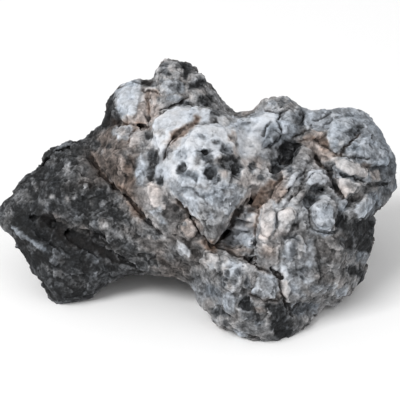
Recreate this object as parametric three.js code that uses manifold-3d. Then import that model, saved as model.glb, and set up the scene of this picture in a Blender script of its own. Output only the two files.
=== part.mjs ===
// An aquascape rock: one weathered block of grey limestone with white bands and deep crevices.
// It stands on three worn feet. Millimetres, +Z up, the origin on the ground under the middle.
//
// The stone is laid out on a square grid held up in front of it, as an eye 30 degrees above the
// ground sees it. A place is [column, row, near]: squares to the right, squares down, and
// millimetres towards the eye from the upright plane through the stone's middle.

import * as THREE from "three";
import { ConvexGeometry } from "three/addons/geometries/ConvexGeometry.js";
import { ConvexHull } from "three/addons/math/ConvexHull.js";
import { ImprovedNoise } from "three/addons/math/ImprovedNoise.js";
import { mergeVertices } from "three/addons/utils/BufferGeometryUtils.js";
import Module from "manifold-3d";

// The grid and the eye.
const SQUARE = 0.55; // one grid square, so the 400 squares of the stone's length are 220 mm
const MIDDLE = 200; // column and row of the grid's middle
const EYE_DISTANCE = 917;
const EYE_ELEVATION = THREE.MathUtils.degToRad(30);
const MIDDLE_HEIGHT = 48.3; // the grid's middle, above the ground

// The surface.
const EDGE_SOFTNESS = 0.8; // how far an edge of one mass is worn back
const JOINT_SOFTNESS = 0.7; // how far the joint of two masses is filled
const SWELL = 1.0; // every mass stands this much proud of its corners' hull
const SKIN_DETAIL = 13; // the wrapped skin has 20 (detail + 1)^2 triangles
const RELAX_ROUNDS = 30;
const RELAX_SHARE = 0.5; // of the way to the middle of its neighbours, along the surface
const REACH = 150; // no part of the stone is further than this from its heart
const HEART = new THREE.Vector3(2, 2, 44);
const HEART_LENGTH = 64; // the heart is a line this long to the left and to the right

const up = new THREE.Vector3(0, Math.sin(EYE_ELEVATION), Math.cos(EYE_ELEVATION));
const toEye = new THREE.Vector3(0, -Math.cos(EYE_ELEVATION), Math.sin(EYE_ELEVATION));

// A place on the front grid as a point of the stone.
function seen([column, row, near]) {
  const size = SQUARE * (1 - near / EYE_DISTANCE);
  return new THREE.Vector3(0, 0, MIDDLE_HEIGHT)
    .add(new THREE.Vector3((column - MIDDLE) * size, 0, 0))
    .addScaledVector(up, (MIDDLE - row) * size)
    .addScaledVector(toEye, near);
}

// The masses that show from the front. Each is a convex block: its corners on the front grid,
// and the same outline drawn in and set back by "deep".
const FRONT_MASSES = {
  armSlab: {
    deep: 34,
    corners: [
      [3, 208, -6], [13, 200, -8], [23, 188, -12], [31, 170, -14], [38, 156, -15], [49, 146, -16],
      [66, 141, -16], [77, 138, -15], [90, 152, -8], [112, 170, 8], [128, 196, 16], [106, 226, 20],
      [66, 222, 16], [34, 213, 9], [14, 212, 2], [62, 178, 8], [92, 196, 15],
    ],
  },
  armFoot: {
    deep: 30,
    corners: [
      [-6, 208, -6], [3, 217, -6], [7, 230, -6], [19, 252, -7], [34, 269, -6], [43, 284, -4],
      [48, 297, 1], [56, 305, 6], [68, 309, 8], [80, 305, 6], [94, 294, 1], [107, 285, -1],
      [118, 278, 0], [126, 270, 3], [122, 248, 9], [84, 256, 14], [56, 256, 13], [30, 241, 7],
      [42, 226, 2], [70, 262, 15],
    ],
  },
  brownShoulder: {
    deep: 40,
    corners: [
      [88, 148, -8], [90, 138, -9], [96, 130, -9], [104, 124, -8], [116, 126, 4], [150, 128, 14],
      [152, 182, 24], [134, 204, 24], [112, 184, 15], [96, 166, 6], [118, 140, 12], [126, 165, 20],
    ],
  },
  topLeftKnob: {
    deep: 28,
    corners: [
      [104, 120, -10], [106, 110, -11], [111, 96, -12], [116, 87, -12], [124, 82, -12],
      [136, 80, -11], [146, 84, -9], [148, 104, 4], [142, 122, 11], [118, 122, 9], [118, 100, 7],
      [130, 90, 3],
    ],
  },
  seam: {
    deep: 30,
    corners: [[140, 90, -10], [156, 90, -6], [158, 108, 8], [152, 132, 12], [140, 126, 8]],
  },
  peak: {
    deep: 34,
    corners: [
      [150, 84, -6], [151, 78, -7], [155, 70, -7], [160, 64, -6], [168, 61, -5], [181, 58, -5],
      [191, 59, -6], [197, 66, -7], [204, 71, -8], [210, 80, -9], [214, 95, -10], [222, 107, -10],
      [231, 115, -9], [226, 122, 6], [205, 106, 12], [180, 108, 14], [158, 110, 10], [165, 78, 4],
      [190, 84, 7],
    ],
  },
  whiteLump: {
    deep: 35,
    corners: [
      [154, 118, 14], [160, 111, 14], [176, 106, 15], [192, 104, 14], [206, 112, 18],
      [196, 122, 26], [176, 138, 31], [164, 158, 32], [156, 148, 26], [152, 132, 20],
      [170, 125, 28],
    ],
  },
  whiteBlock: {
    deep: 55,
    corners: [
      [206, 108, 14], [222, 112, 14], [232, 122, 18], [240, 140, 26], [248, 165, 34],
      [250, 186, 38], [239, 208, 44], [226, 227, 47], [215, 238, 47], [205, 229, 45],
      [190, 209, 40], [174, 193, 35], [164, 178, 33], [160, 165, 33], [172, 145, 32],
      [190, 124, 25], [205, 165, 45], [225, 195, 50],
    ],
  },
  leftStrip: {
    deep: 35,
    corners: [
      [134, 160, 20], [140, 150, 20], [150, 140, 20], [160, 165, 28], [168, 190, 30],
      [160, 215, 30], [140, 205, 26], [132, 190, 23],
    ],
  },
  column: {
    deep: 40,
    corners: [
      [228, 119, 4], [246, 118, 2], [259, 117, 4], [268, 130, 15], [262, 150, 21], [272, 180, 29],
      [268, 200, 33], [252, 212, 34], [246, 190, 30], [240, 150, 23], [232, 128, 14],
    ],
  },
  rightPeak: {
    deep: 36,
    corners: [
      [256, 112, -2], [260, 103, -4], [267, 96, -5], [278, 94, -5], [286, 97, -6], [294, 105, -8],
      [303, 112, -9], [306, 128, 2], [296, 140, 16], [278, 150, 24], [262, 148, 22],
      [262, 125, 14], [282, 118, 12],
    ],
  },
  rightBlock: {
    deep: 42,
    corners: [
      [300, 113, -10], [312, 110, -11], [328, 108, -12], [342, 112, -12], [354, 110, -13],
      [362, 113, -14], [369, 119, -14], [375, 131, -13], [383, 143, -12], [391, 156, -10],
      [402, 168, -8], [404, 178, -7], [395, 191, -3], [388, 200, -3], [379, 213, 0],
      [366, 192, 14], [340, 160, 22], [318, 156, 20], [304, 140, 12], [330, 130, 8], [362, 145, 10],
    ],
  },
  wedge: {
    deep: 30,
    corners: [
      [316, 158, 20], [345, 160, 23], [368, 172, 20], [380, 184, 12], [352, 204, 26],
      [342, 200, 30], [328, 178, 27],
    ],
  },
  ledges: {
    deep: 40,
    corners: [
      [268, 196, 36], [282, 178, 30], [300, 166, 26], [318, 164, 26], [334, 190, 30],
      [322, 200, 34], [300, 205, 38], [280, 215, 40], [266, 212, 40],
    ],
  },
  rightLower: {
    deep: 50,
    corners: [
      [258, 217, 37], [280, 206, 38], [310, 195, 36], [345, 200, 30], [372, 190, 12],
      [371, 210, -4], [366, 226, -4], [364, 240, -4],
      [364, 252, -3], [364, 264, -3], [364, 277, -1], [360, 287, 2], [351, 297, 6],
      [338, 304, 9], [323, 305, 13], [300, 302, 28], [284, 282, 40], [256, 262, 44],
      [248, 244, 43], [322, 215, 38], [335, 250, 36], [325, 280, 34],
    ],
  },
  frontFoot: {
    deep: 55,
    corners: [
      [186, 275, 16], [190, 262, 25], [200, 251, 34], [216, 245, 41], [240, 255, 44],
      [262, 268, 45], [284, 282, 42], [306, 296, 30], [322, 307, 16], [317, 319, 18],
      [305, 328, 22], [300, 339, 31], [290, 345, 38], [276, 348, 40], [258, 347, 39], [246, 343, 37],
      [229, 337, 33], [216, 330, 26], [214, 317, 17], [209, 303, 12], [199, 289, 10],
      [230, 290, 44], [262, 305, 47],
    ],
  },
  lowerBelly: {
    deep: 45,
    corners: [
      [108, 232, 20], [130, 202, 23], [160, 196, 26], [180, 206, 29], [204, 232, 35],
      [214, 246, 38], [200, 262, 32], [182, 276, 14], [165, 277, 9], [145, 277, 7],
      [126, 275, 4], [118, 262, 8], [104, 248, 14], [150, 245, 27],
    ],
  },
};

// The masses behind, by their corners in millimetres: right, back and up from the origin.
const REAR_MASSES = {
  core: [
    [-80, -8, 14], [-80, 20, 13], [-78, 0, 50], [-70, 25, 52], [-30, -18, 22], [-30, -12, 60],
    [-20, 30, 85], [10, -30, 18], [20, -20, 80], [15, 35, 88], [70, -20, 14], [75, -15, 60],
    [78, 30, 70], [60, 45, 12], [-10, 48, 11], [-60, 38, 13],
  ],
  rearRight: [
    [20, 50, -6], [78, 38, -6], [90, 15, 30], [88, 30, 62], [60, 46, 66], [25, 52, 60],
    [30, 20, 80], [85, 5, 50],
  ],
  rearMiddle: [
    [-45, 44, -6], [30, 56, -6], [34, 48, 64], [-5, 46, 92], [-35, 40, 80], [-50, 30, 40],
    [-20, 0, 50], [20, 0, 50],
  ],
  rearLeft: [
    [-92, 8, 28], [-96, -2, 36], [-84, 30, 30], [-70, 36, 52], [-40, 42, 58], [-40, 44, -4],
    [-72, 34, -4], [-60, -10, 20], [-50, 0, 60],
  ],
  rearShelf: [
    [38, 42, -4], [86, 30, -4], [91, 44, 2], [62, 64, -4], [46, 62, 16], [84, 46, 24], [60, 60, 22],
    [56, 42, 34],
  ],
  rearBoss: [
    [-22, 44, 26], [6, 46, 20], [20, 60, 40], [-6, 64, 46], [-26, 52, 58], [8, 56, 66], [-4, 40, 80],
    [20, 44, 70],
  ],
  rearSpur: [
    [-84, 26, -4], [-56, 34, -4], [-42, 58, -4], [-48, 56, 18], [-76, 40, 24], [-58, 40, 38],
    [-40, 46, 34],
  ],
  rearKnob: [
    [66, 34, 48], [92, 26, 40], [86, 40, 62], [70, 50, 58], [72, 34, 84], [88, 22, 78], [56, 40, 74],
  ],
  rearShoulder: [
    [-70, 24, 40], [-46, 30, 34], [-38, 44, 56], [-60, 40, 62], [-48, 28, 76], [-30, 34, 84],
  ],
};
// Slabs and lumps that stand proud of the front, by their outlines: "raise" in millimetres.
const FRONT_PLATES = {
  whiteFace: {
    raise: 2.4,
    outline: [
      [206, 114], [222, 118], [238, 142], [247, 166], [250, 186], [239, 208], [226, 227], [215, 239],
      [205, 229], [190, 209], [174, 193], [163, 177], [161, 165], [173, 146], [190, 126], [206, 160],
      [222, 196],
    ],
  },
  slate: {
    raise: 2.6,
    outline: [[262, 137], [268, 124], [277, 118], [279, 134], [274, 143], [262, 149]],
  },
  peakPlate: {
    raise: 2.6,
    outline: [[282, 113], [292, 107], [301, 113], [299, 126], [290, 136], [282, 134]],
  },
  hollowLump: {
    raise: 3.6,
    outline: [[293, 152], [302, 147], [312, 150], [314, 162], [305, 170], [293, 168]],
  },
  pinkLedge: { raise: 3.0, outline: [[306, 143], [322, 147], [341, 155], [330, 160], [316, 156]] },
  blockFace: {
    raise: 2.4,
    outline: [[330, 118], [350, 116], [358, 130], [352, 140], [340, 150], [328, 146]],
  },
  blockEdge: {
    raise: 2.6,
    outline: [[352, 150], [362, 138], [376, 140], [386, 156], [388, 166], [364, 168]],
  },
  wedgeTop: {
    raise: 3.4,
    outline: [[324, 160], [345, 160], [366, 170], [364, 178], [350, 177], [338, 173]],
  },
  wedgeFoot: { raise: 3.0, outline: [[340, 180], [362, 184], [353, 197], [345, 195], [336, 184]] },
  stripLeft: {
    raise: 2.8,
    outline: [[274, 196], [284, 180], [298, 170], [303, 173], [291, 188], [280, 200]],
  },
  stripMiddle: {
    raise: 2.8,
    outline: [[286, 204], [298, 188], [316, 172], [322, 177], [306, 194], [292, 208]],
  },
  stripRight: { raise: 3.0, outline: [[308, 192], [322, 180], [334, 190], [330, 198], [314, 199]] },
  paleBlock: {
    raise: 5.0,
    outline: [[311, 207], [321, 197], [332, 203], [336, 218], [328, 230], [314, 224]],
  },
  uprightLeft: {
    raise: 3.6,
    outline: [[262, 207], [270, 202], [276, 212], [275, 232], [266, 238], [260, 226]],
  },
  uprightRight: {
    raise: 2.8,
    outline: [[280, 214], [290, 209], [294, 220], [286, 236], [278, 232]],
  },
  smallBlock: { raise: 4.2, outline: [[236, 237], [247, 231], [253, 243], [247, 253], [237, 250]] },
  lowBlock: { raise: 2.8, outline: [[284, 241], [298, 236], [306, 248], [300, 262], [286, 258]] },
  edgeBlock: { raise: 3.0, outline: [[348, 212], [362, 197], [374, 200], [371, 216], [356, 222]] },
  brownBlock: { raise: 2.6, outline: [[314, 238], [338, 236], [346, 252], [336, 270], [318, 264]] },
  footBlock: { raise: 2.8, outline: [[252, 276], [272, 280], [276, 296], [262, 304], [250, 292]] },
  footLump: { raise: 2.6, outline: [[222, 268], [240, 264], [246, 280], [234, 294], [220, 286]] },
  shoulderLump: {
    raise: 3.0,
    outline: [[112, 150], [128, 146], [138, 158], [134, 176], [120, 178]],
  },
  armRidge: {
    raise: 3.0,
    outline: [[10, 226], [22, 222], [44, 240], [66, 258], [58, 268], [34, 254]],
  },
  armPlate: { raise: 2.4, outline: [[52, 176], [74, 168], [92, 184], [84, 204], [60, 202]] },
  stripLump: { raise: 2.6, outline: [[146, 186], [156, 178], [168, 196], [166, 212], [152, 208]] },
  pinkLump: { raise: 2.4, outline: [[178, 222], [190, 218], [197, 232], [190, 242], [179, 236]] },
  crownPlate: { raise: 2.2, outline: [[158, 76], [170, 68], [182, 74], [178, 92], [162, 96]] },
};

// Crevices in the front: the line that each follows, how wide its mouth is and how deep it goes.
const FRONT_CREVICES = {
  wedgeLeft: {
    wide: 3.0,
    deep: 7,
    line: [[172, 194], [185, 207], [198, 224], [207, 236], [214, 243]],
  },
  wedgeRight: {
    wide: 4.2,
    deep: 10,
    line: [[258, 186], [250, 197], [243, 208], [236, 219], [226, 231], [214, 243]],
  },
  wedgeTail: {
    wide: 2.4,
    deep: 5,
    line: [[214, 243], [228, 250], [240, 256], [252, 263], [270, 272], [284, 279]],
  },
  shoulderSeam: {
    wide: 3.6,
    deep: 6,
    line: [[86, 152], [98, 168], [108, 181], [118, 191], [130, 201], [139, 213], [151, 226], [168, 240]],
  },
  knobSeam: { wide: 4.0, deep: 5, line: [[103, 122], [116, 125], [135, 127], [150, 131]] },
  crownSeam: { wide: 3.4, deep: 4.5, line: [[147, 82], [149, 92], [150, 104], [147, 117], [151, 131]] },
  brow: { wide: 3.4, deep: 5, line: [[222, 111], [205, 106], [190, 103], [175, 105], [158, 112]] },
  groove: {
    wide: 3.0,
    deep: 3.6,
    line: [[201, 115], [189, 123], [178, 132], [170, 140], [163, 152], [160, 164]],
  },
  peakSplit: { wide: 2.0, deep: 4, line: [[280, 112], [278, 124], [281, 138]] },
  blockSeam: { wide: 3.0, deep: 6, line: [[304, 113], [303, 126], [299, 139]] },
  brownLedge: {
    wide: 3.0,
    deep: 5,
    line: [[300, 141], [313, 137], [322, 146], [333, 153], [345, 157]],
  },
  brownCrevice: {
    wide: 4.2,
    deep: 8,
    line: [[315, 157], [322, 165], [330, 178], [338, 190], [344, 200]],
  },
  blockSplit: { wide: 1.8, deep: 3.5, line: [[359, 137], [349, 147], [340, 154]] },
  slit: { wide: 1.8, deep: 4, line: [[340, 174], [350, 178.5], [362, 181]] },
  notch: { wide: 5.0, deep: 9, line: [[390, 183], [374, 186], [361, 193], [351, 203], [342, 214]] },
  ledgeLeft: { wide: 2.0, deep: 4, line: [[301, 172], [290, 186], [277, 199]] },
  ledgeRight: { wide: 2.0, deep: 4, line: [[322, 167], [306, 181], [293, 195], [284, 207]] },
  ledgeFoot: {
    wide: 2.6,
    deep: 5,
    line: [[334, 189], [318, 190], [305, 200], [298, 213], [296, 226]],
  },
  rubbleSeam: {
    wide: 2.6,
    deep: 5,
    line: [[338, 206], [342, 222], [334, 233], [316, 230], [306, 238]],
  },
  armGully: {
    wide: 7.0,
    deep: 7,
    line: [[42, 216], [60, 227], [76, 238], [90, 246], [106, 256], [124, 263], [140, 268]],
  },
  armTip: { wide: 3.0, deep: 4, line: [[4, 213], [22, 214], [42, 218]] },
  footSeam: {
    wide: 2.6,
    deep: 4.5,
    line: [[236, 262], [244, 276], [244, 296], [254, 312], [252, 330]],
  },
  footEdge: { wide: 2.4, deep: 4.5, line: [[284, 279], [282, 298], [290, 312], [308, 309]] },
};

// Pits in the front: [column, row, radius across, radius up, depth], the last three in millimetres.
const FRONT_PITS = [
  [205, 152, 3.4, 3.2, 4.0], [227, 150, 2.4, 2.2, 3.0], [211, 172, 4.6, 4.2, 5.0],
  [236, 168, 3.8, 4.6, 5.0], [182, 167, 2.8, 2.8, 3.0], [185, 67, 3.2, 2.6, 3.0],
  [287, 157, 7.4, 6.4, 9.0], [275, 168, 4.2, 5.2, 6.0], [171, 212, 4.6, 5.0, 5.0],
  [309, 202, 4.2, 4.0, 5.0], [340, 222, 4.4, 4.4, 5.0], [246, 306, 4.2, 3.2, 3.4],
  [70, 232, 4.4, 3.4, 4.0],
];

// The bite out of the ridge between the knob and the peak: its middle, and its half sizes.
const SADDLE = { place: [146, 77, -16], across: 5.4, upward: 13, deep: 6 };

// Around the back the same features follow at set angles: [azimuth, elevation] in degrees, seen
// from the heart, azimuth 0 to the right and 90 straight back.
const REAR_CREVICES = {
  crossing: {
    wide: 4.0,
    deep: 7,
    line: [[58, 52], [72, 36], [84, 22], [100, 10], [112, -6], [118, -22]],
  },
  branch: { wide: 3.2, deep: 6, line: [[84, 22], [66, 12], [48, 4], [30, 2], [14, 8]] },
  left: { wide: 3.6, deep: 6, line: [[128, 62], [134, 42], [146, 26], [160, 14], [172, 4]] },
  rib: { wide: 3.0, deep: 5, line: [[100, 10], [124, 14], [142, 2], [156, -14]] },
  foot: { wide: 3.0, deep: 5, line: [[48, 4], [56, -14], [62, -30]] },
};
const REAR_PLATES = 6;
const REAR_PITS = 2;

const BACK_SCALE = 0.62; // how far a front mass's outline is drawn in at its back

function frontCorners({ corners, deep }) {
  const mean = [0, 1, 2].map((i) => corners.reduce((sum, c) => sum + c[i], 0) / corners.length);
  const back = corners.map(([column, row]) => [
    mean[0] + (column - mean[0]) * BACK_SCALE,
    mean[1] + (row - mean[1]) * BACK_SCALE,
    mean[2] - deep,
  ]);
  return [...corners, ...back].map(seen);
}

// A convex mass as its face planes, and a sphere that holds it.
function massOf(points) {
  const planes = [];
  for (const { normal, constant } of new ConvexHull().setFromPoints(points).faces) {
    if (!planes.some((plane) => plane.normal.dot(normal) > 0.9995)) {
      planes.push(new THREE.Plane(normal.clone(), -constant - SWELL));
    }
  }
  return { planes, ball: new THREE.Sphere().setFromPoints(points) };
}

const masses = [
  ...Object.values(FRONT_MASSES).map((mass) => massOf(frontCorners(mass))),
  ...Object.values(REAR_MASSES).map((corners) => massOf(corners.map((c) => new THREE.Vector3(...c)))),
];

// Roughly the distance to one mass, with its edges worn round.
function distanceToMass({ planes }, p) {
  let most = -Infinity;
  for (const plane of planes) most = Math.max(most, plane.distanceToPoint(p));
  let sum = 0;
  for (const plane of planes) {
    const behind = (most - plane.distanceToPoint(p)) / EDGE_SOFTNESS;
    if (behind < 8) sum += Math.exp(-behind);
  }
  return most + EDGE_SOFTNESS * Math.log(sum);
}

// The relief: low swells, and chips that step from one to the next as broken stone does.
const noise = new ImprovedNoise();
const SWELLS = [
  { size: 34, height: 2.2 },
  { size: 15, height: 1.1 },
];
const CHIPS = [
  { size: 19, height: 2.0, cells: new Map() },
  { size: 11, height: 1.1, cells: new Map() },
];

function hash(i, j, k, salt) {
  const s = Math.sin(i * 127.1 + j * 311.7 + k * 74.7 + salt * 53.3) * 43758.5453;
  return s - Math.floor(s);
}

// The scattered point of one cell, with the height and the tilt of the chip around it.
function chipIn(cells, i, j, k) {
  const key = ((i + 64) * 128 + j + 64) * 128 + k + 64;
  if (!cells.has(key)) {
    const [x, y, z, tiltX, tiltY, tiltZ, height] = [1, 2, 3, 4, 5, 6, 7].map((salt) => hash(i, j, k, salt));
    cells.set(key, {
      x: i + x,
      y: j + y,
      z: k + z,
      tiltX: 2 * tiltX - 1,
      tiltY: 2 * tiltY - 1,
      tiltZ: 2 * tiltZ - 1,
      height: height - 0.5,
    });
  }
  return cells.get(key);
}

// The height of the chip that p lies in: space is shared out among the scattered points.
function chip(p, { size, cells }) {
  const x = p.x / size;
  const y = p.y / size;
  const z = p.z / size;
  let nearest = Infinity;
  let height = 0;
  for (let i = Math.floor(x) - 1; i <= x + 1; i++) {
    for (let j = Math.floor(y) - 1; j <= y + 1; j++) {
      for (let k = Math.floor(z) - 1; k <= z + 1; k++) {
        const c = chipIn(cells, i, j, k);
        const [dx, dy, dz] = [x - c.x, y - c.y, z - c.z];
        const d = dx * dx + dy * dy + dz * dz;
        if (d < nearest) {
          nearest = d;
          height = dx * c.tiltX + dy * c.tiltY + dz * c.tiltZ + c.height;
        }
      }
    }
  }
  return height;
}

function relief(p) {
  let height = 0;
  for (const { size, height: h } of SWELLS) {
    height += h * noise.noise(p.x / size + 7.3, p.y / size + 2.9, p.z / size + 5.1);
  }
  for (const chips of CHIPS) height += chips.height * chip(p, chips);
  return height;
}

const FAR = 14; // a mass further than this adds nothing at a place

// Roughly the distance from p to the stone's surface, less than zero inside.
function field(p) {
  let least = FAR;
  const distances = [];
  for (const mass of masses) {
    if (mass.ball.distanceToPoint(p) > FAR) continue;
    const d = distanceToMass(mass, p);
    distances.push(d);
    least = Math.min(least, d);
  }
  let sum = 0;
  for (const d of distances) sum += Math.exp((least - d) / JOINT_SOFTNESS);
  return sum ? least - JOINT_SOFTNESS * Math.log(sum) - relief(p) : FAR;
}

// The way out of the stone at p, as long as the field is steep.
const PROBE = 0.4;
function slope(p, here = field(p)) {
  const [x, y, z] = [0, 1, 2].map((axis) => {
    const beside = p.clone().setComponent(axis, p.getComponent(axis) + PROBE);
    return (field(beside) - here) / PROBE;
  });
  return new THREE.Vector3(x, y, z);
}

// The first place where a ray from outside meets the stone.
function hit(origin, direction, length) {
  const p = new THREE.Vector3();
  let outside = 0;
  let t = 0;
  for (;;) {
    const distance = field(p.copy(origin).addScaledVector(direction, t));
    if (distance < 0) break;
    outside = t;
    t += Math.max(1, distance * 0.6);
    if (t > length) return null;
  }
  let inside = t;
  for (let i = 0; i < 10; i++) {
    const middle = (outside + inside) / 2;
    if (field(p.copy(origin).addScaledVector(direction, middle)) < 0) inside = middle;
    else outside = middle;
  }
  return p.copy(origin).addScaledVector(direction, inside);
}

// Moves p onto the surface and gives the way out there.
function settle(p) {
  const here = field(p);
  const out = slope(p, here);
  const steepness = Math.max(out.lengthSq(), 0.3);
  p.addScaledVector(out, -THREE.MathUtils.clamp(here / steepness, -3, 3));
  return out.normalize();
}

// A ball shrunk onto the stone from outside, its vertices then evened out along the surface.
function wrappedSkin() {
  const ball = new THREE.IcosahedronGeometry(1, SKIN_DETAIL);
  ball.deleteAttribute("normal");
  ball.deleteAttribute("uv");
  const skin = mergeVertices(ball, 1e-5);
  const position = skin.getAttribute("position");
  const points = Array.from({ length: position.count }, (_, i) => {
    const out = new THREE.Vector3().fromBufferAttribute(position, i).normalize();
    return around(out);
  });
  const outward = points.map((p) => settle(p));
  const near = points.map(() => new Set());
  const index = skin.index.array;
  for (let i = 0; i < index.length; i += 3) {
    for (let a = 0; a < 3; a++) {
      near[index[i + a]].add(index[i + ((a + 1) % 3)]);
      near[index[i + a]].add(index[i + ((a + 2) % 3)]);
    }
  }
  const along = new THREE.Vector3();
  for (let round = 0; round < RELAX_ROUNDS; round++) {
    points.forEach((p, i) => {
      along.set(0, 0, 0);
      for (const j of near[i]) along.add(points[j]);
      along.divideScalar(near[i].size).sub(p);
      along.addScaledVector(outward[i], -along.dot(outward[i]));
      p.addScaledVector(along, RELAX_SHARE);
      outward[i] = settle(p);
    });
  }
  points.forEach((p, i) => position.setXYZ(i, p.x, p.y, p.z));
  return skin;
}

// The surface point that lies in one direction from the heart.
function around(out) {
  const from = HEART.clone();
  from.x += out.x * HEART_LENGTH;
  const start = from.clone().addScaledVector(out, REACH);
  return hit(start, out.clone().negate(), REACH) ?? from;
}

function fromBehind([azimuth, elevation]) {
  const [a, e] = [azimuth, elevation].map(THREE.MathUtils.degToRad);
  return around(new THREE.Vector3(Math.cos(a) * Math.cos(e), Math.sin(a) * Math.cos(e), Math.sin(e)));
}

// The surface point that shows at a place of the front grid.
function inFront([column, row]) {
  const eye = new THREE.Vector3(0, 0, MIDDLE_HEIGHT).addScaledVector(toEye, EYE_DISTANCE);
  const sight = seen([column, row, 0]).sub(eye).normalize();
  const start = eye.clone().addScaledVector(sight, EYE_DISTANCE - REACH);
  return hit(start, sight, 2 * REACH);
}

const wasm = await Module();
wasm.setup();

function solidOf(geometry) {
  const bare = new THREE.BufferGeometry();
  bare.setAttribute("position", geometry.getAttribute("position"));
  if (geometry.index) bare.setIndex(geometry.index);
  const merged = mergeVertices(bare, 1e-4);
  return new wasm.Manifold(
    new wasm.Mesh({
      numProp: 3,
      vertProperties: new Float32Array(merged.getAttribute("position").array),
      triVerts: new Uint32Array(merged.index.array),
    }),
  );
}

function geometryOf(solid) {
  const { vertProperties, triVerts } = solid.getMesh();
  const geometry = new THREE.BufferGeometry();
  geometry.setAttribute("position", new THREE.BufferAttribute(vertProperties, 3));
  geometry.setIndex(new THREE.BufferAttribute(triVerts, 1));
  return geometry;
}

function joined(solids) {
  return solids.reduce((whole, solid) => whole.add(solid));
}

// The surface points of a list of places; a place that misses the stone is left out.
function onSurface(places, find) {
  return places.map(find).filter(Boolean);
}

// A slab with its outline on the surface, sunk into the stone and raised over it.
const PLATE_SINK = 6;
const PLATE_TOP = 0.84; // its top's outline, as a share of its foot's
function plate(rim, raise) {
  const middle = rim.reduce((sum, p) => sum.add(p), new THREE.Vector3()).divideScalar(rim.length);
  const out = rim.reduce((sum, p) => sum.add(slope(p).normalize()), new THREE.Vector3()).normalize();
  const foot = rim.map((p) => p.clone().addScaledVector(out, -PLATE_SINK));
  const top = rim.map((p) => middle.clone().lerp(p, PLATE_TOP).addScaledVector(out, raise));
  return solidOf(new ConvexGeometry([...foot, ...top]));
}

// A crevice along a line on the surface: wedges from point to point, tapered at both ends.
const MOUTH_RISE = 2.5; // the cutting wedge stands this far out of the stone
const TAPER = 0.35;
function crevice(line, wide, deep) {
  const sections = line.map((p, i) => {
    const out = slope(p).normalize();
    const along = line[Math.min(i + 1, line.length - 1)].clone().sub(line[Math.max(i - 1, 0)]);
    const side = along.cross(out).normalize();
    const size = i === 0 || i === line.length - 1 ? TAPER : 1;
    const mouth = (wide * size * (deep + MOUTH_RISE)) / deep / 2;
    return [
      p.clone().addScaledVector(side, mouth).addScaledVector(out, MOUTH_RISE),
      p.clone().addScaledVector(side, -mouth).addScaledVector(out, MOUTH_RISE),
      p.clone().addScaledVector(out, -deep * size),
    ];
  });
  const wedges = sections.slice(1).map((section, i) => {
    return solidOf(new ConvexGeometry([...sections[i], ...section]));
  });
  return joined(wedges);
}

// A pit: a rough ball sunk to half its depth.
function pit(p, across, upward, deep) {
  const out = slope(p).normalize();
  const right = new THREE.Vector3().crossVectors(new THREE.Vector3(0, 0, 1), out).normalize();
  const frame = new THREE.Matrix4().makeBasis(right, new THREE.Vector3().crossVectors(out, right), out);
  const ball = new THREE.IcosahedronGeometry(1, 0).getAttribute("position");
  const corners = Array.from({ length: ball.count }, (_, i) => {
    return new THREE.Vector3().fromBufferAttribute(ball, i);
  });
  for (const corner of corners) {
    const [x, y, z] = corner.toArray().map((v) => Math.round(v * 9));
    corner.multiplyScalar(0.85 + 0.35 * hash(x + Math.round(p.x), y, z, 20));
    corner.set(corner.x * across, corner.y * upward, corner.z * deep).applyMatrix4(frame).add(p);
  }
  return solidOf(new ConvexGeometry(corners));
}

// A slab somewhere on the back, its outline scattered round its middle.
function rearPlate(index) {
  const azimuth = 5 + 170 * hash(index, 1, 0, 11);
  const elevation = -20 + 95 * hash(index, 2, 0, 12);
  const width = 6 + 6 * hash(index, 3, 0, 13);
  const rim = [0, 1, 2, 3, 4, 5].map((corner) => {
    const turn = ((corner + 0.6 * hash(index, corner, 1, 14)) / 6) * 2 * Math.PI;
    const size = width * (0.7 + 0.5 * hash(index, corner, 2, 15));
    return fromBehind([azimuth + size * Math.cos(turn), elevation + size * Math.sin(turn)]);
  });
  return plate(rim, 2 + 2 * hash(index, 4, 0, 16));
}

function rearPit(index) {
  const place = [10 + 160 * hash(index, 5, 0, 17), -15 + 85 * hash(index, 6, 0, 18)];
  const size = 2.2 + 2.8 * hash(index, 7, 0, 19);
  return pit(fromBehind(place), size, size * 0.8, size);
}

const upTo = (count) => Array.from({ length: count }, (_, i) => i);

function plates() {
  const front = Object.values(FRONT_PLATES).map(({ outline, raise }) => {
    return plate(onSurface(outline, inFront), raise);
  });
  return joined([...front, ...upTo(REAR_PLATES).map(rearPlate)]);
}

function crevices(lines, find) {
  return Object.values(lines).map(({ line, wide, deep }) => crevice(onSurface(line, find), wide, deep));
}

function hollows() {
  return joined([
    ...crevices(FRONT_CREVICES, inFront),
    ...crevices(REAR_CREVICES, fromBehind),
    ...FRONT_PITS.map(([column, row, ...size]) => pit(inFront([column, row]), ...size)),
    ...upTo(REAR_PITS).map(rearPit),
    pit(seen(SADDLE.place), SADDLE.across, SADDLE.upward, SADDLE.deep),
  ]);
}

// The stone is the largest piece that the cuts leave: a loose crumb falls away.
function stone() {
  const ground = solidOf(new THREE.BoxGeometry(400, 400, 100).translate(0, 0, -50));
  const cut = solidOf(wrappedSkin()).add(plates()).subtract(hollows()).subtract(ground);
  return cut.decompose().reduce((most, piece) => (piece.volume() > most.volume() ? piece : most));
}

const rock = new THREE.Mesh(
  geometryOf(stone()),
  new THREE.MeshStandardMaterial({ color: 0x8f9195, roughness: 0.85, metalness: 0 }),
);
rock.name = "rock";

// The origin is on the ground under the middle of the stone's box.
rock.geometry.computeBoundingBox();
rock.geometry.boundingBox.getCenter(rock.position).negate().setZ(0);

const model = new THREE.Group();
model.add(rock);

export default model;
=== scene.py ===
"""An aquascape rock: a weathered block of grey limestone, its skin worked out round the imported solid.

Lengths are in metres, with the origin on the ground under the middle of the stone. Marks that show
from the front are placed on a square grid held up before the stone, as an eye 30 degrees above the
ground sees it: a mark's place is column,row in squares, an outline or a line is a row of places, and
heights and depths are in mm.
"""

import math

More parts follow.
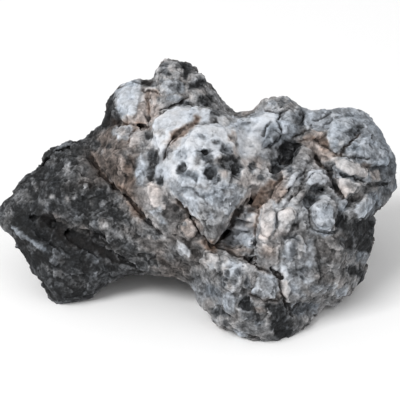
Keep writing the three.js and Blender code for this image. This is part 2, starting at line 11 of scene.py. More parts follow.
import bpy
import numpy as np
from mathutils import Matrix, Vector
from mathutils.bvhtree import BVHTree


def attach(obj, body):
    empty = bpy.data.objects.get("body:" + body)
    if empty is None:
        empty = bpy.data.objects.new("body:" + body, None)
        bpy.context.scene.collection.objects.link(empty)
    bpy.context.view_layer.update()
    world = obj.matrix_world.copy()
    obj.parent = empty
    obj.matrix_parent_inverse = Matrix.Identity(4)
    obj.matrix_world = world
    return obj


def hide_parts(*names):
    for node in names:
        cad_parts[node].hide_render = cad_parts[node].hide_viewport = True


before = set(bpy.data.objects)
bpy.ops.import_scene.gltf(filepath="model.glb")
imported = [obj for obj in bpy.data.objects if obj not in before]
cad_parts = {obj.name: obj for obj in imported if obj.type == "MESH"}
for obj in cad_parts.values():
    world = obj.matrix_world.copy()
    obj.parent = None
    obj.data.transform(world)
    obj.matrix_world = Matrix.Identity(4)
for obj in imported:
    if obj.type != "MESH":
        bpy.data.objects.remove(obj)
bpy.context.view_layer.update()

MM = 0.001

# The grid and the eye
SQUARE = 0.55 * MM  # one grid square, on the upright plane through the grid's middle
MIDDLE = 200  # column and row of the grid's middle
GRID_MIDDLE = np.array((1.14 * MM, 3.83 * MM, 48.3 * MM))
EYE_DISTANCE = 0.917
EYE_ELEVATION = math.radians(30)
SENSOR = 36.0
FRAME_SQUARES = 400

RIGHT = np.array((1.0, 0.0, 0.0))
UP = np.array((0.0, math.sin(EYE_ELEVATION), math.cos(EYE_ELEVATION)))
TO_EYE = np.array((0.0, -math.cos(EYE_ELEVATION), math.sin(EYE_ELEVATION)))
EYE = GRID_MIDDLE + TO_EYE * EYE_DISTANCE

# The skin's mesh
VOXEL = 0.68 * MM
MOST_TRIANGLES = 194000
MOST_SPARE = 0.4  # how readily triangles go where the eye sees nothing, from 0 to 1
SPARE_STEPS = 10
LEAST_FILL = 0.02
FILM_ROUNDS = 400
FILM_PACE = 0.8

# Loose tone on the sides that no patch reaches: its weight beside a patch's, the middle, swing and
# limits of its light and warmth, and how broken the stone is there
LOOSE = 0.02
LOOSE_LIGHT = (0.46, 0.5, 0.12, 0.88)
LOOSE_WARM = (0.0, 0.9, -0.7, 0.6)
LOOSE_BROKEN = 0.8

# How far a mark's tone takes over from the tone before it, and how strongly marks cut in
FACE_SHARE, RECESS_SHARE, BLOTCH_SHARE = 0.8, 0.85, 0.7
RECESS_CUT, CREVICE_CUT, PIT_CUT = 0.7, 0.8, 0.5
FACE_MEAN = 0.7  # the height of a face's middle, as a share of its own height
FACE_TILT = 0.05  # what each square across a face adds to that share
FACE_TURN = 2.4  # radians from the tilt of one face to the next one's
WANDER = 2.0  # squares that the marks' edges wander

# Broken stone: its size, how far its joints bend and over what length, all in mm, and two salts
SLABS = (24, 4, 16, 71, 16)
BLOCKS = (9, 1.6, 7, 21, 9)
CHIPS = (4.2, 0.7, 3, 41, 10)
GRAINS = (2.3, 0.3, 2, 51, 11)

# Its relief in mm
SLAB_HEIGHT, BLOCK_HEIGHT, CHIP_HEIGHT, GRAIN_HEIGHT = 3.2, 1.7, 0.7, 0.15
SLAB_JOINT, BLOCK_JOINT, POCK_DEPTH = 1.6, 0.8, 1.2
SWELL, SWELL_MIDDLE, ROUGHNESS = 0.4, 0.3, 0.25

# What varies its light and warmth, and the earth in its joints
CLOUDS, SLAB_TONE, BLOCK_TONE, CHIP_TONE, GRAIN_TONE = 0.09, 0.13, 0.05, 0.07, 0.04
WARM_CLOUDS, SLAB_EARTH = 0.25, 0.5
FISSURE_WIDTH = 0.045  # how far from its middle the noise may be where a fissure runs

# How dark its lines are beside a crevice's, how far lines darken the stone, and how far painted shade
# darkens it in hollows and lightens it on rises
SLAB_JOINT_DARK, BLOCK_JOINT_DARK, POCK_DARK, FISSURE_DARK = 0.9, 0.6, 0.7, 0.75
LINE_DARK, PAINTED_HOLLOW_SHADE, PAINTED_DEEP_SHADE, DARKEST = 0.3, 0.34, 0.05, 0.03

# The limestone's brightness by shade, and what tints it
LEVELS = [(0.0, 0.010), (0.2, 0.031), (0.4, 0.105), (0.6, 0.24), (0.8, 0.46), (1.0, 0.68)]
COOL, NEUTRAL, CREAMY = (0.87, 1.0, 1.14, 1), (1, 1, 1, 1), (1.22, 1.0, 0.87, 1)
EARTH_STAIN, EARTH = (1.3, 0.95, 0.72, 1), (0.12, 0.08, 0.06, 1)

LAMP_TARGET = (0, 0, 0.05)

# Tones: how light the stone is there, from 0 to 1, how warm, from -1 (blue) to 1 (cream), and how
# broken its surface is
BLACK = (0.055, -0.4, 0.7)
COAL = (0.17, -0.3, 0.8)
STEEL = (0.31, -0.6, 0.6)
UMBER = (0.33, 0.9, 0.5)
DUSK = (0.35, 0.2, 0.6)
ASH = (0.40, 0.0, 0.7)
SLATE = (0.44, -0.8, 0.5)
CLAY = (0.54, 0.7, 0.5)
GREY = (0.53, 0.0, 0.8)
PALE = (0.64, 0.2, 0.6)
MIST = (0.62, -0.6, 0.6)
CREAM = (0.70, 0.35, 0.5)
FROST = (0.75, -0.5, 0.4)
WHITE = (0.88, -0.3, 0.3)

# Broad patches of tone: how far each reaches in mm, and its places on the grid
PATCHES = [
    # painted shade: the black at 110,112 is the knob's shaded left side, and at 362,240 the shade at the
    # right edge
    (BLACK, 8, [26,214, 48,230, 66,238, 86,245, 34,256, 106,262, 362,240, 110,112, 50,262, 58,277]),
    (COAL, 13, [30,190, 52,170, 75,155, 62,195, 88,202, 60,285, 88,272]),
    (COAL, 8, [112,208, 360,224, 356,242, 285,325, 140,264, 120,262]),
    (DUSK, 11, [132,250, 150,256, 168,246, 180,266, 142,232, 196,252]),
    (ASH, 11, [112,236, 128,226, 350,262, 305,312, 292,312]),
    (DUSK, 9, [330,248, 335,262, 322,276, 120,164, 112,176, 88,172]),
    (ASH, 9, [214,94, 200,84, 318,280, 345,210, 240,320, 215,310]),
    (UMBER, 9, [98,152, 98,178, 120,166, 125,190, 165,262, 108,140]),
    (PALE, 8, [168,76, 180,92, 196,88, 156,82]),
    (GREY, 9, [225,290, 300,230, 300,250, 260,256, 216,234]),
    (GREY, 8, [262,284, 300,190, 318,176, 362,206, 345,280, 240,250, 250,305]),
    (GREY, 9, [335,290, 308,292, 210,264]),
    (SLATE, 8, [268,132, 386,176, 372,205, 205,290, 386,140]),
    (PALE, 6, [205,300, 212,318, 225,332]),
    (CREAM, 7, [128,136, 148,108, 152,200, 325,151, 250,182, 243,158]),
    (PALE, 8, [262,170, 256,152, 264,186, 226,204, 228,262]),
    (MIST, 9, [330,124, 348,130, 365,142, 360,122, 352,114, 300,275, 350,172, 350,190]),
    (FROST, 8, [142,172, 250,125, 265,116, 215,226, 245,240, 272,216, 212,190]),
    (WHITE, 8, [240,132, 246,144, 260,130]),
    (WHITE, 10, [128,100, 172,118, 160,140, 200,138, 192,178, 222,130]),
    (WHITE, 6, [268,222, 234,268, 290,206]),
]

# Faces of broken stone: tone, height over the stone around in mm, and outline
FACES = dict(
    # the knob at the top left, the shoulder and the seam beside them
    knob=(FROST, 0.9, [114,101, 116,92, 121,84, 130,82, 142,86, 143,92, 139,101, 138,114, 131,120, 123,118,
        118,111]),
    knob_cap=(MIST, 0.3, [122,86, 128,81, 140,81, 145,86, 134,88]),
    knob_foot=(CLAY, 0.2, [125,116, 135,115, 137,122, 127,122]),
    shoulder=(MIST, 0.7, [111,133, 116,127, 128,125, 136,130, 132,138, 120,141]),
    shoulder_lump=(CREAM, 0.9, [136,132, 146,129, 149,136, 144,150, 132,152, 128,144]),
    shoulder_face=(UMBER, 0.5, [104,158, 118,152, 130,158, 134,176, 130,192, 116,184, 108,172]),
    shoulder_edge=(UMBER, 0.5, [90,150, 104,146, 110,166, 108,180, 97,168]),
    seam_strip=(CLAY, 0.6, [139,104, 146,100, 148,112, 146,126, 139,127, 137,116]),
    seam_rim=(CLAY, 0.5, [144,92, 157,90, 161,96, 156,101, 146,99]),
    seam_side=(CLAY, 0.4, [151,106, 158,102, 160,110, 155,118, 152,128, 149,118]),
    # the peak
    peak_left=(GREY, 0.3, [152,88, 154,74, 161,64, 168,62, 164,78, 160,92]),
    peak_cap=(GREY, 0.6, [163,76, 166,64, 178,62, 181,76, 176,82]),
    peak_middle=(MIST, 0.6, [160,92, 163,82, 176,80, 186,84, 184,92, 172,94]),
    peak_right=(GREY, 0.8, [189,74, 197,70, 204,76, 203,81, 191,84]),
    peak_mauve=(GREY, 0.8, [190,93, 203,86, 208,88, 205,97, 195,99]),
    flank=(GREY, 0.3, [206,82, 212,84, 220,98, 232,113, 222,116, 210,108]),
    peak_lump=(ASH, 1, [161,103, 168,95, 178,93, 184,98, 176,105, 165,108]),
    # the white lump and the white block with its pits
    lump=(WHITE, 1, [157,118, 164,112, 174,108, 184,106, 188,114, 186,122, 178,130, 170,134, 167,145,
        161,154, 156,140, 154,128]),
    lump_side=(FROST, 0.8, [190,108, 198,105, 200,114, 194,121, 188,122]),
    lump_ledge=(FROST, 0.7, [201,108, 212,110, 217,118, 204,121]),
    crown=(WHITE, 0.9, [186,140, 194,130, 206,126, 222,127, 229,134, 230,146, 214,144, 198,147, 184,151]),
    band=(WHITE, 1, [164,166, 172,158, 184,150, 194,146, 198,152, 193,164, 180,163, 176,178, 166,178]),
    block_middle=(MIST, 0.6, [168,182, 178,180, 196,182, 204,190, 198,196, 184,190, 174,196]),
    block_low=(FROST, 0.9, [186,192, 198,198, 206,206, 206,222, 198,228, 190,212, 180,200]),
    block_right=(MIST, 0.7, [206,184, 232,184, 246,188, 240,204, 228,216, 214,212, 210,200]),
    block_tip=(ASH, 0.7, [201,222, 212,216, 222,222, 222,232, 214,240, 207,236]),
    # left of the block
    strip=(MIST, 1, [141,152, 145,160, 147,176, 143,187, 137,183, 135,170, 137,158]),
    strip_low=(CREAM, 0.8, [148,184, 156,178, 158,190, 160,200, 152,206, 147,198]),
    strip_foot=(MIST, 0.6, [150,212, 160,206, 166,216, 170,226, 160,224]),
    pink_lump=(CLAY, 1.2, [181,219, 187,217, 194,222, 198,230, 195,238, 187,237, 182,230]),
    pink_step=(CLAY, 0.6, [190,240, 202,240, 208,246, 202,250, 194,246]),
    pale_lump=(FROST, 1, [179,238, 184,243, 192,250, 190,256, 180,256, 173,250]),
    pale_streak=(ASH, 0.5, [162,236, 166,236, 171,243, 167,246]),
    # the arm
    arm_brown=(DUSK, 0.5, [52,213, 62,215, 80,221, 95,233, 88,236, 70,229, 56,221]),
    arm_facet=(ASH, 0.9, [98,219, 114,218, 122,228, 126,240, 112,242, 102,234]),
    arm_facet_low=(COAL, 0.6, [104,238, 126,240, 138,250, 132,258, 118,256]),
    arm_end=(ASH, 0.5, [3,205, 12,201, 14,210, 10,224, 5,222]),
    arm_lump=(ASH, 0.7, [14,198, 24,192, 33,197, 30,207, 18,206]),
    arm_ridge=(SLATE, 1.2, [10,224, 18,228, 32,238, 44,245, 62,254, 58,259, 46,253, 34,246, 20,236]),
    arm_low=(STEEL, 0.7, [87,250, 98,250, 104,258, 98,264, 88,262]),
    # right of the block
    column_top=(FROST, 0.6, [224,122, 232,116, 240,116, 242,126, 236,134, 228,130]),
    white_band=(WHITE, 1, [262,115, 275,113, 277,119, 268,126, 261,133, 254,142, 248,147, 245,138,
        252,127]),
    slate_plate=(STEEL, 1.2, [266,133, 272,127, 279,128, 280,136, 276,142, 270,147, 262,149, 263,139]),
    blue_plate=(MIST, 1.2, [282,117, 290,108, 296,111, 298,119, 292,125, 288,132, 282,135, 280,127]),
    right_cap=(GREY, 0.6, [263,110, 266,101, 276,97, 288,99, 294,106, 284,110, 270,113]),
    saddle=(FROST, 0.5, [303,113, 314,112, 314,122, 308,129, 303,124]),
    tan_ledge=(CLAY, 0.5, [303,136, 312,130, 326,132, 328,139, 318,140, 308,141]),
    pink_strip=(CLAY, 1.2, [304,146, 312,143, 322,147, 331,151, 339,155, 333,158, 320,157, 313,152]),
    right_face=(FROST, 0.9, [330,122, 342,116, 350,120, 348,130, 340,138, 338,148, 330,150, 326,138]),
    right_front=(MIST, 1, [344,152, 350,143, 358,137, 368,140, 372,150, 370,158, 352,158]),
    right_low=(SLATE, 1.2, [370,156, 378,148, 386,152, 390,160, 386,164, 370,163]),
    right_shade=(STEEL, 0.4, [369,165, 386,166, 394,172, 396,180, 384,180, 374,176]),
    grey_lump=(ASH, 1.4, [295,152, 303,147, 311,152, 314,162, 308,169, 298,171, 292,164]),
    wedge_top=(CREAM, 1.4, [333,158, 345,160, 358,164, 368,169, 366,178, 354,176, 344,173, 337,168]),
    wedge_low=(CREAM, 1.2, [334,178, 342,177, 352,182, 363,183, 358,190, 350,196, 345,199, 338,187]),
    wedge_back=(CLAY, 0.6, [368,170, 378,172, 382,180, 370,181]),
    # the stepped ledges and the rubble
    ledge_high=(FROST, 1.2, [287,182, 293,174, 302,170, 304,175, 297,184, 290,190]),
    ledge_round=(FROST, 1.4, [303,184, 308,173, 318,169, 328,173, 331,182, 320,184, 310,186]),
    ledge_left=(CLAY, 1, [272,196, 280,186, 288,190, 284,200, 276,204]),
    ledge_low=(GREY, 1, [290,200, 300,190, 306,194, 298,206]),
    pale_knob=(WHITE, 1, [319,197, 325,191, 332,195, 330,201, 322,203]),
    pale_block=(MIST, 1.8, [311,208, 318,202, 327,203, 334,210, 334,221, 330,230, 318,229, 312,222]),
    slate_chip=(SLATE, 0.8, [336,199, 346,198, 348,210, 338,213]),
    edge_block=(MIST, 1.4, [353,212, 358,204, 366,193, 373,196, 372,207, 366,214, 357,218]),
    upright_left=(CREAM, 1.6, [263,204, 269,201, 274,208, 275,222, 270,236, 264,242, 260,238, 262,222]),
    upright_right=(PALE, 1.4, [280,210, 290,207, 297,214, 291,222, 286,227, 280,238, 273,240, 277,226]),
    small_pale=(CREAM, 1, [246,217, 256,215, 258,226, 250,230, 245,225]),
    small_block=(FROST, 1.6, [233,237, 240,232, 247,231, 252,240, 252,247, 246,253, 240,246]),
    warm_face=(PALE, 0.6, [257,245, 268,242, 280,246, 279,262, 268,266, 258,258]),
    blue_face=(MIST, 1, [283,242, 291,240, 296,250, 292,262, 284,258]),
    rubble_brown=(DUSK, 0.8, [314,236, 328,234, 342,248, 348,262, 334,268, 322,262]),
    rubble_low=(DUSK, 0.6, [322,264, 340,270, 352,278, 340,288, 320,290, 314,276]),
    rubble_pale=(ASH, 0.6, [326,262, 344,262, 350,274, 336,280, 326,274]),
    edge_pale=(MIST, 0.6, [358,251, 367,250, 367,262, 360,264]),
    edge_low=(MIST, 0.6, [335,288, 348,285, 346,294, 336,298]),
    # the front foot
    pale_tooth=(WHITE, 1, [282,262, 286,266, 290,276, 284,280, 280,272]),
    pink_tooth=(CREAM, 1, [280,281, 288,281, 292,290, 288,299, 282,292]),
    foot_block=(MIST, 1.4, [257,271, 268,274, 277,280, 278,290, 274,298, 262,296, 251,292, 253,286,
        258,280]),
    foot_top=(PALE, 1, [201,260, 208,253, 215,252, 219,258, 219,268, 212,270, 204,265]),
    foot_cream=(PALE, 0.8, [222,257, 229,256, 231,264, 225,268]),
    foot_pale=(FROST, 1, [228,270, 234,264, 243,261, 243,267, 236,276, 230,276]),
    foot_mauve=(MIST, 0.6, [222,292, 232,290, 236,300, 234,312, 226,310]),
    foot_side=(SLATE, 0.4, [204,288, 214,284, 222,292, 222,306, 212,302]),
)

# Recesses: tone, depth in mm, how much earth lies in it, and outline
RECESSES = dict(
    # painted shade: the knob's left side, toned black as its shadow side
    knob_shaded_edge=(BLACK, 1, 0, [98,124, 102,114, 106,100, 113,99, 117,112, 121,121, 110,126]),
    ridge_notch=(COAL, 2.4, 0.2, [140,66, 152,66, 154,80, 150,86, 143,86, 140,78]),
    lump_back=(UMBER, 1.3, 0.6, [170,139, 172,133, 181,128, 192,122, 197,117, 200,119, 196,125, 187,133,
        178,139, 172,144]),
    summit=(BLACK, 1, 0, [181,64, 187,61, 191,66, 189,74, 187,80, 184,78, 183,72]),
    peak_slash=(BLACK, 1.4, 0, [188,90, 191,84, 199,79, 206,77, 205,82, 196,88]),
    brow_end=(COAL, 1.2, 0, [199,98, 212,96, 214,104, 206,107, 200,104]),
    strip_side=(COAL, 1, 0, [149,149, 154,147, 159,158, 157,165, 154,172, 154,183, 150,181, 149,167]),
    strip_back=(UMBER, 0.6, 0.3, [127,155, 134,158, 134,180, 132,194, 127,186]),
    twin_pit=(COAL, 1.3, 0, [220,160, 229,155, 239,157, 242,168, 241,180, 234,179, 229,171, 220,167]),
    pit_link=(DUSK, 0.9, 0, [206,163, 214,158, 226,157, 230,161, 220,165, 212,168]),
    # painted shade: the hollow under the right peak's overhang is toned dark
    hollow=(COAL, 0.6, 0, [276,149, 284,142, 298,139, 302,146, 296,157, 290,168, 284,166, 283,155]),
    hollow_foot=(COAL, 0.6, 0, [271,160, 278,157, 282,166, 281,180, 275,182, 271,172]),
    plate_edge=(STEEL, 1, 0, [295,120, 299,111, 304,114, 303,124, 296,127]),
    ledge_gap=(UMBER, 0.4, 0.7, [317,139, 324,137, 329,142, 327,149, 320,146]),
    right_dint=(STEEL, 0.8, 0, [346,133, 352,127, 359,123, 364,128, 358,135, 350,137]),
    # painted shadow: the notch's soft dark band below the right block
    notch=(DUSK, 0.4, 0, [366,184, 380,180, 394,181, 390,196, 380,199, 376,190, 362,195, 353,203, 350,198]),
    ledge_shade=(ASH, 0.5, 0, [304,188, 316,184, 328,186, 331,192, 316,195, 306,194]),
    ledge_hole=(STEEL, 0.8, 0, [301,200, 308,194, 319,197, 312,207, 304,211]),
    rubble_hole=(COAL, 0.5, 0, [334,214, 342,214, 349,222, 351,231, 341,229, 335,223]),
    edge_hole=(BLACK, 1, 0, [352,222, 359,220, 362,228, 354,231]),
    edge_shade=(BLACK, 0.8, 0, [354,234, 362,226, 374,218, 376,236, 370,250, 358,250]),
    rubble_gap=(COAL, 0.8, 0.1, [336,240, 344,237, 353,242, 351,249, 340,247]),
    low_gap=(BLACK, 1.2, 0, [346,268, 353,265, 361,271, 359,277, 350,273]),
    upright_gap=(DUSK, 1, 0, [290,224, 299,222, 300,230, 292,231]),
    slot=(STEEL, 1, 0, [282,235, 298,236, 299,240, 284,239]),
    foot_shade=(STEEL, 0.7, 0, [238,296, 248,296, 252,304, 253,316, 247,320, 242,314, 240,304]),
    foot_cleft=(BLACK, 0.8, 0, [266,303, 276,304, 284,300, 286,310, 284,322, 291,330, 284,338, 275,336,
        270,326, 275,316, 268,310]),
    foot_right=(SLATE, 0.8, 0, [292,305, 306,302, 318,304, 314,313, 300,318, 292,314]),
    earth_pocket=(UMBER, 0.8, 0.9, [250,200, 262,188, 270,180, 276,184, 270,196, 262,207, 255,214,
        249,212]),
    wedge_foot=(UMBER, 0.4, 0.8, [203,243, 212,240, 220,244, 216,250, 207,250]),
    arm_hollow=(BLACK, 0.5, 0, [12,210, 26,203, 40,208, 54,218, 64,230, 62,250, 50,246, 36,238, 20,228]),
    under_ridge=(BLACK, 0.5, 0, [16,240, 30,248, 46,256, 52,262, 46,270, 36,266, 25,256]),
    under_block=(DUSK, 0.5, 0, [160,212, 170,206, 178,201, 184,206, 188,213, 181,217, 175,221, 173,229,
        166,222]),
    belly_gap=(DUSK, 0.8, 0.1, [183,237, 192,240, 202,248, 200,258, 190,260, 192,250]),
    arm_dint=(COAL, 0.6, 0, [96,190, 110,188, 112,198, 100,200]),
    arm_hole=(COAL, 0.6, 0, [100,208, 114,208, 114,217, 102,217]),
)

# Crevices: width of the mouth in squares, depth in mm, how much earth lies in it, and its line
CREVICES = dict(
    wedge_left=(2.6, 1.6, 0.5, [176,200, 185,209, 190,217, 196,225, 201,233, 210,242]),
    wedge_right=(5, 1.8, 0.5, [249,201, 243,207, 238,215, 232,224, 226,232, 219,240, 211,245]),
    wedge_tail=(2.4, 1.2, 0.4, [214,245, 228,251, 240,257, 252,263, 260,268]),
    shoulder=(2.8, 1.2, 0.8, [92,158, 96,166, 102,174, 109,183]),
    shoulder_low=(4.4, 1.4, 0.9, [112,186, 122,190, 129,198, 135,208, 142,216]),
    arm_break=(2.4, 0.8, 0.2, [81,182, 91,186]),
    knob=(3, 1.4, 0.9, [110,123, 122,122, 133,125, 148,128]),
    lump_foot=(1.6, 0.8, 0.9, [136,129, 131,134, 128,140]),
    seam=(2.2, 1, 0.4, [143,91, 150,91, 156,93]),
    seam_edge=(2, 0.8, 0.8, [147,99, 149,112, 148,126]),
    # painted shadow: the dark line under the peak's overhang, above the white lump, over a shallow cut
    brow_shadow=(3, 1.4, 0.2, [157,117, 162,111, 171,108, 179,104, 188,96]),
    groove_foot=(2.4, 0.8, 0.4, [176,137, 168,148, 163,160]),
    lump_ledge=(2.4, 0.9, 0.1, [196,124, 206,122, 217,122]),
    # painted shadow: a soft dark band across the white block, over a shallow groove
    block_shadow_band=(2.6, 0.5, 0, [183,187, 195,190, 203,197, 208,204]),
    cap_arc=(2.2, 0.9, 0.1, [266,111, 278,113, 289,109]),
    plate_left=(2.6, 1.3, 0, [272,121, 266,128, 263,136]),
    plate_right=(2.4, 1.3, 0, [280,112, 278,120, 279,128, 281,135]),
    plate_foot=(3.2, 1.5, 0, [281,135, 276,140, 271,147]),
    hollow_rim=(2.6, 1.1, 0.3, [294,138, 303,131, 311,128]),
    top_high=(2.4, 0.9, 0, [314,121, 322,118, 331,113]),
    top_low=(2.2, 0.9, 0, [324,127, 333,120]),
    brown_ledge=(2.6, 0.6, 0.8, [300,141, 311,138, 318,142, 326,149, 336,154]),
    brown_crevice=(5, 1.8, 0.5, [315,156, 320,164, 328,173, 334,182, 338,190, 343,197]),
    right_line=(2, 0.9, 0.1, [340,156, 352,158, 368,159]),
    block_split=(2.2, 1.1, 0.5, [359,135, 350,143, 342,151, 339,155]),
    slit=(2.6, 1.6, 0, [340,174, 347,177, 355,179, 363,181]),
    ledge_left=(2.2, 0.9, 0.1, [304,170, 296,180, 288,191, 278,202]),
    ledge_right=(2.2, 1.1, 0.1, [311,176, 300,188, 290,201, 284,208]),
    earth_edge=(3, 1.2, 0.9, [282,176, 275,186, 270,197]),
    upright_seam=(2.2, 1, 0.9, [259,206, 257,222, 255,233]),
    small_gap=(3, 1.3, 0, [255,235, 256,246, 252,254, 245,258]),
    block_gap=(2.2, 0.8, 0, [309,208, 309,222, 314,231, 330,232]),
    foot_crack=(4.4, 1.5, 0.3, [260,268, 270,272, 281,278]),
    foot_split=(2.6, 1.1, 0.6, [279,281, 280,290, 284,300]),
    foot_base=(3, 1.1, 0.3, [250,295, 262,299, 276,300, 284,298]),
    gully=(8, 0.6, 0.2, [44,218, 56,226, 66,236, 78,243, 92,246, 104,252, 113,259]),
    gully_end=(3, 0.8, 0, [113,259, 125,263, 138,267]),
    arm_split=(4, 1.2, 0, [84,247, 83,262]),
)

# Pits: column, row, half width and half height in squares, and depth in mm
PITS = [
    (204,154, 8,5.4, 1.8), (226,150, 6,5.4, 1.6), (212,173, 9.4,9, 2), (216,143, 5,2.4, 0.8),
    (210,161, 4,2.4, 0.8), (181,169, 4,7.4, 1.4), (188,173, 5,4, 0.9), (195,178, 3,3, 0.9),
    (252,168, 4,5, 1.4), (260,178, 3,2.4, 0.9), (251,145, 3.4,3, 1), (222,190, 3,1.8, 0.7),
    (215,194, 2.4,2.4, 0.6), (151,155, 3,5, 1), (151,173, 3,6, 1), (161,181, 4,4.4, 1.4),
    (149,137, 3.6,3, 1.2), (237,145, 2.2,2.2, 0.7), (232,138, 2,2, 0.6), (251,187, 4,1.6, 0.7),
    (213,211, 3.4,2, 0.6), (204,214, 2.4,2.4, 0.5), (222,227, 4,5, 0.7), (328,223, 4,3.4, 1),
    (303,278, 3,2.6, 1), (300,292, 2.6,2.4, 0.8), (227,275, 3.4,5, 1.2), (223,284, 3,4, 1),
    (237,271, 3,3.4, 0.8), (247,281, 3.4,5, 1.1), (232,294, 2.2,2.2, 0.7), (217,311, 3,5, 0.9),
    (224,313, 3.4,3, 0.9), (227,325, 3.4,2.4, 0.8), (237,329, 3,2, 0.7), (260,322, 5,4, 1.3),
    (154,84, 3,4, 1), (166,73, 4,3, 0.8), (136,84, 3.4,1.6, 0.6), (62,155, 5,4, 1), (45,168, 4,3, 0.8),
    (30,186, 2.4,6, 0.8), (75,156, 4,2.4, 0.7), (95,222, 4,4, 1), (146,221, 3.4,3, 1), (107,266, 4,3, 1),
    (282,103, 2.4,3, 0.8), (291,170, 3,3, 1), (354,148, 2,2, 0.5), (240,117, 3,4, 0.5), (246,124, 5,2, 0.5),
    (97,144, 3,3, 0.8), (184,224, 3,2.4, 0.6),
]

# Places where the solid's cuts are taken up by earth and rubble: column, row, and reach in mm
FILLS = [
    (22,214, 6), (34,217, 8), (48,220, 10), (68,232, 10), (86,240, 6), (98,234, 5), (286,156, 7),
    (228,226, 5), (240,214, 5), (168,212, 5), (148,108, 6), (148,128, 4), (246,280, 5), (314,188, 6),
    (275,152, 7), (370,188, 7), (356,196, 6), (300,202, 5), (344,220, 6), (300,190, 6), (318,232, 5),
    (322,143, 6), (254,196, 6), (251,200, 6), (279,154, 6), (236,236, 6), (232,228, 5), (33,215, 8),
    (50,222, 8), (66,236, 8), (282,146, 6),
]


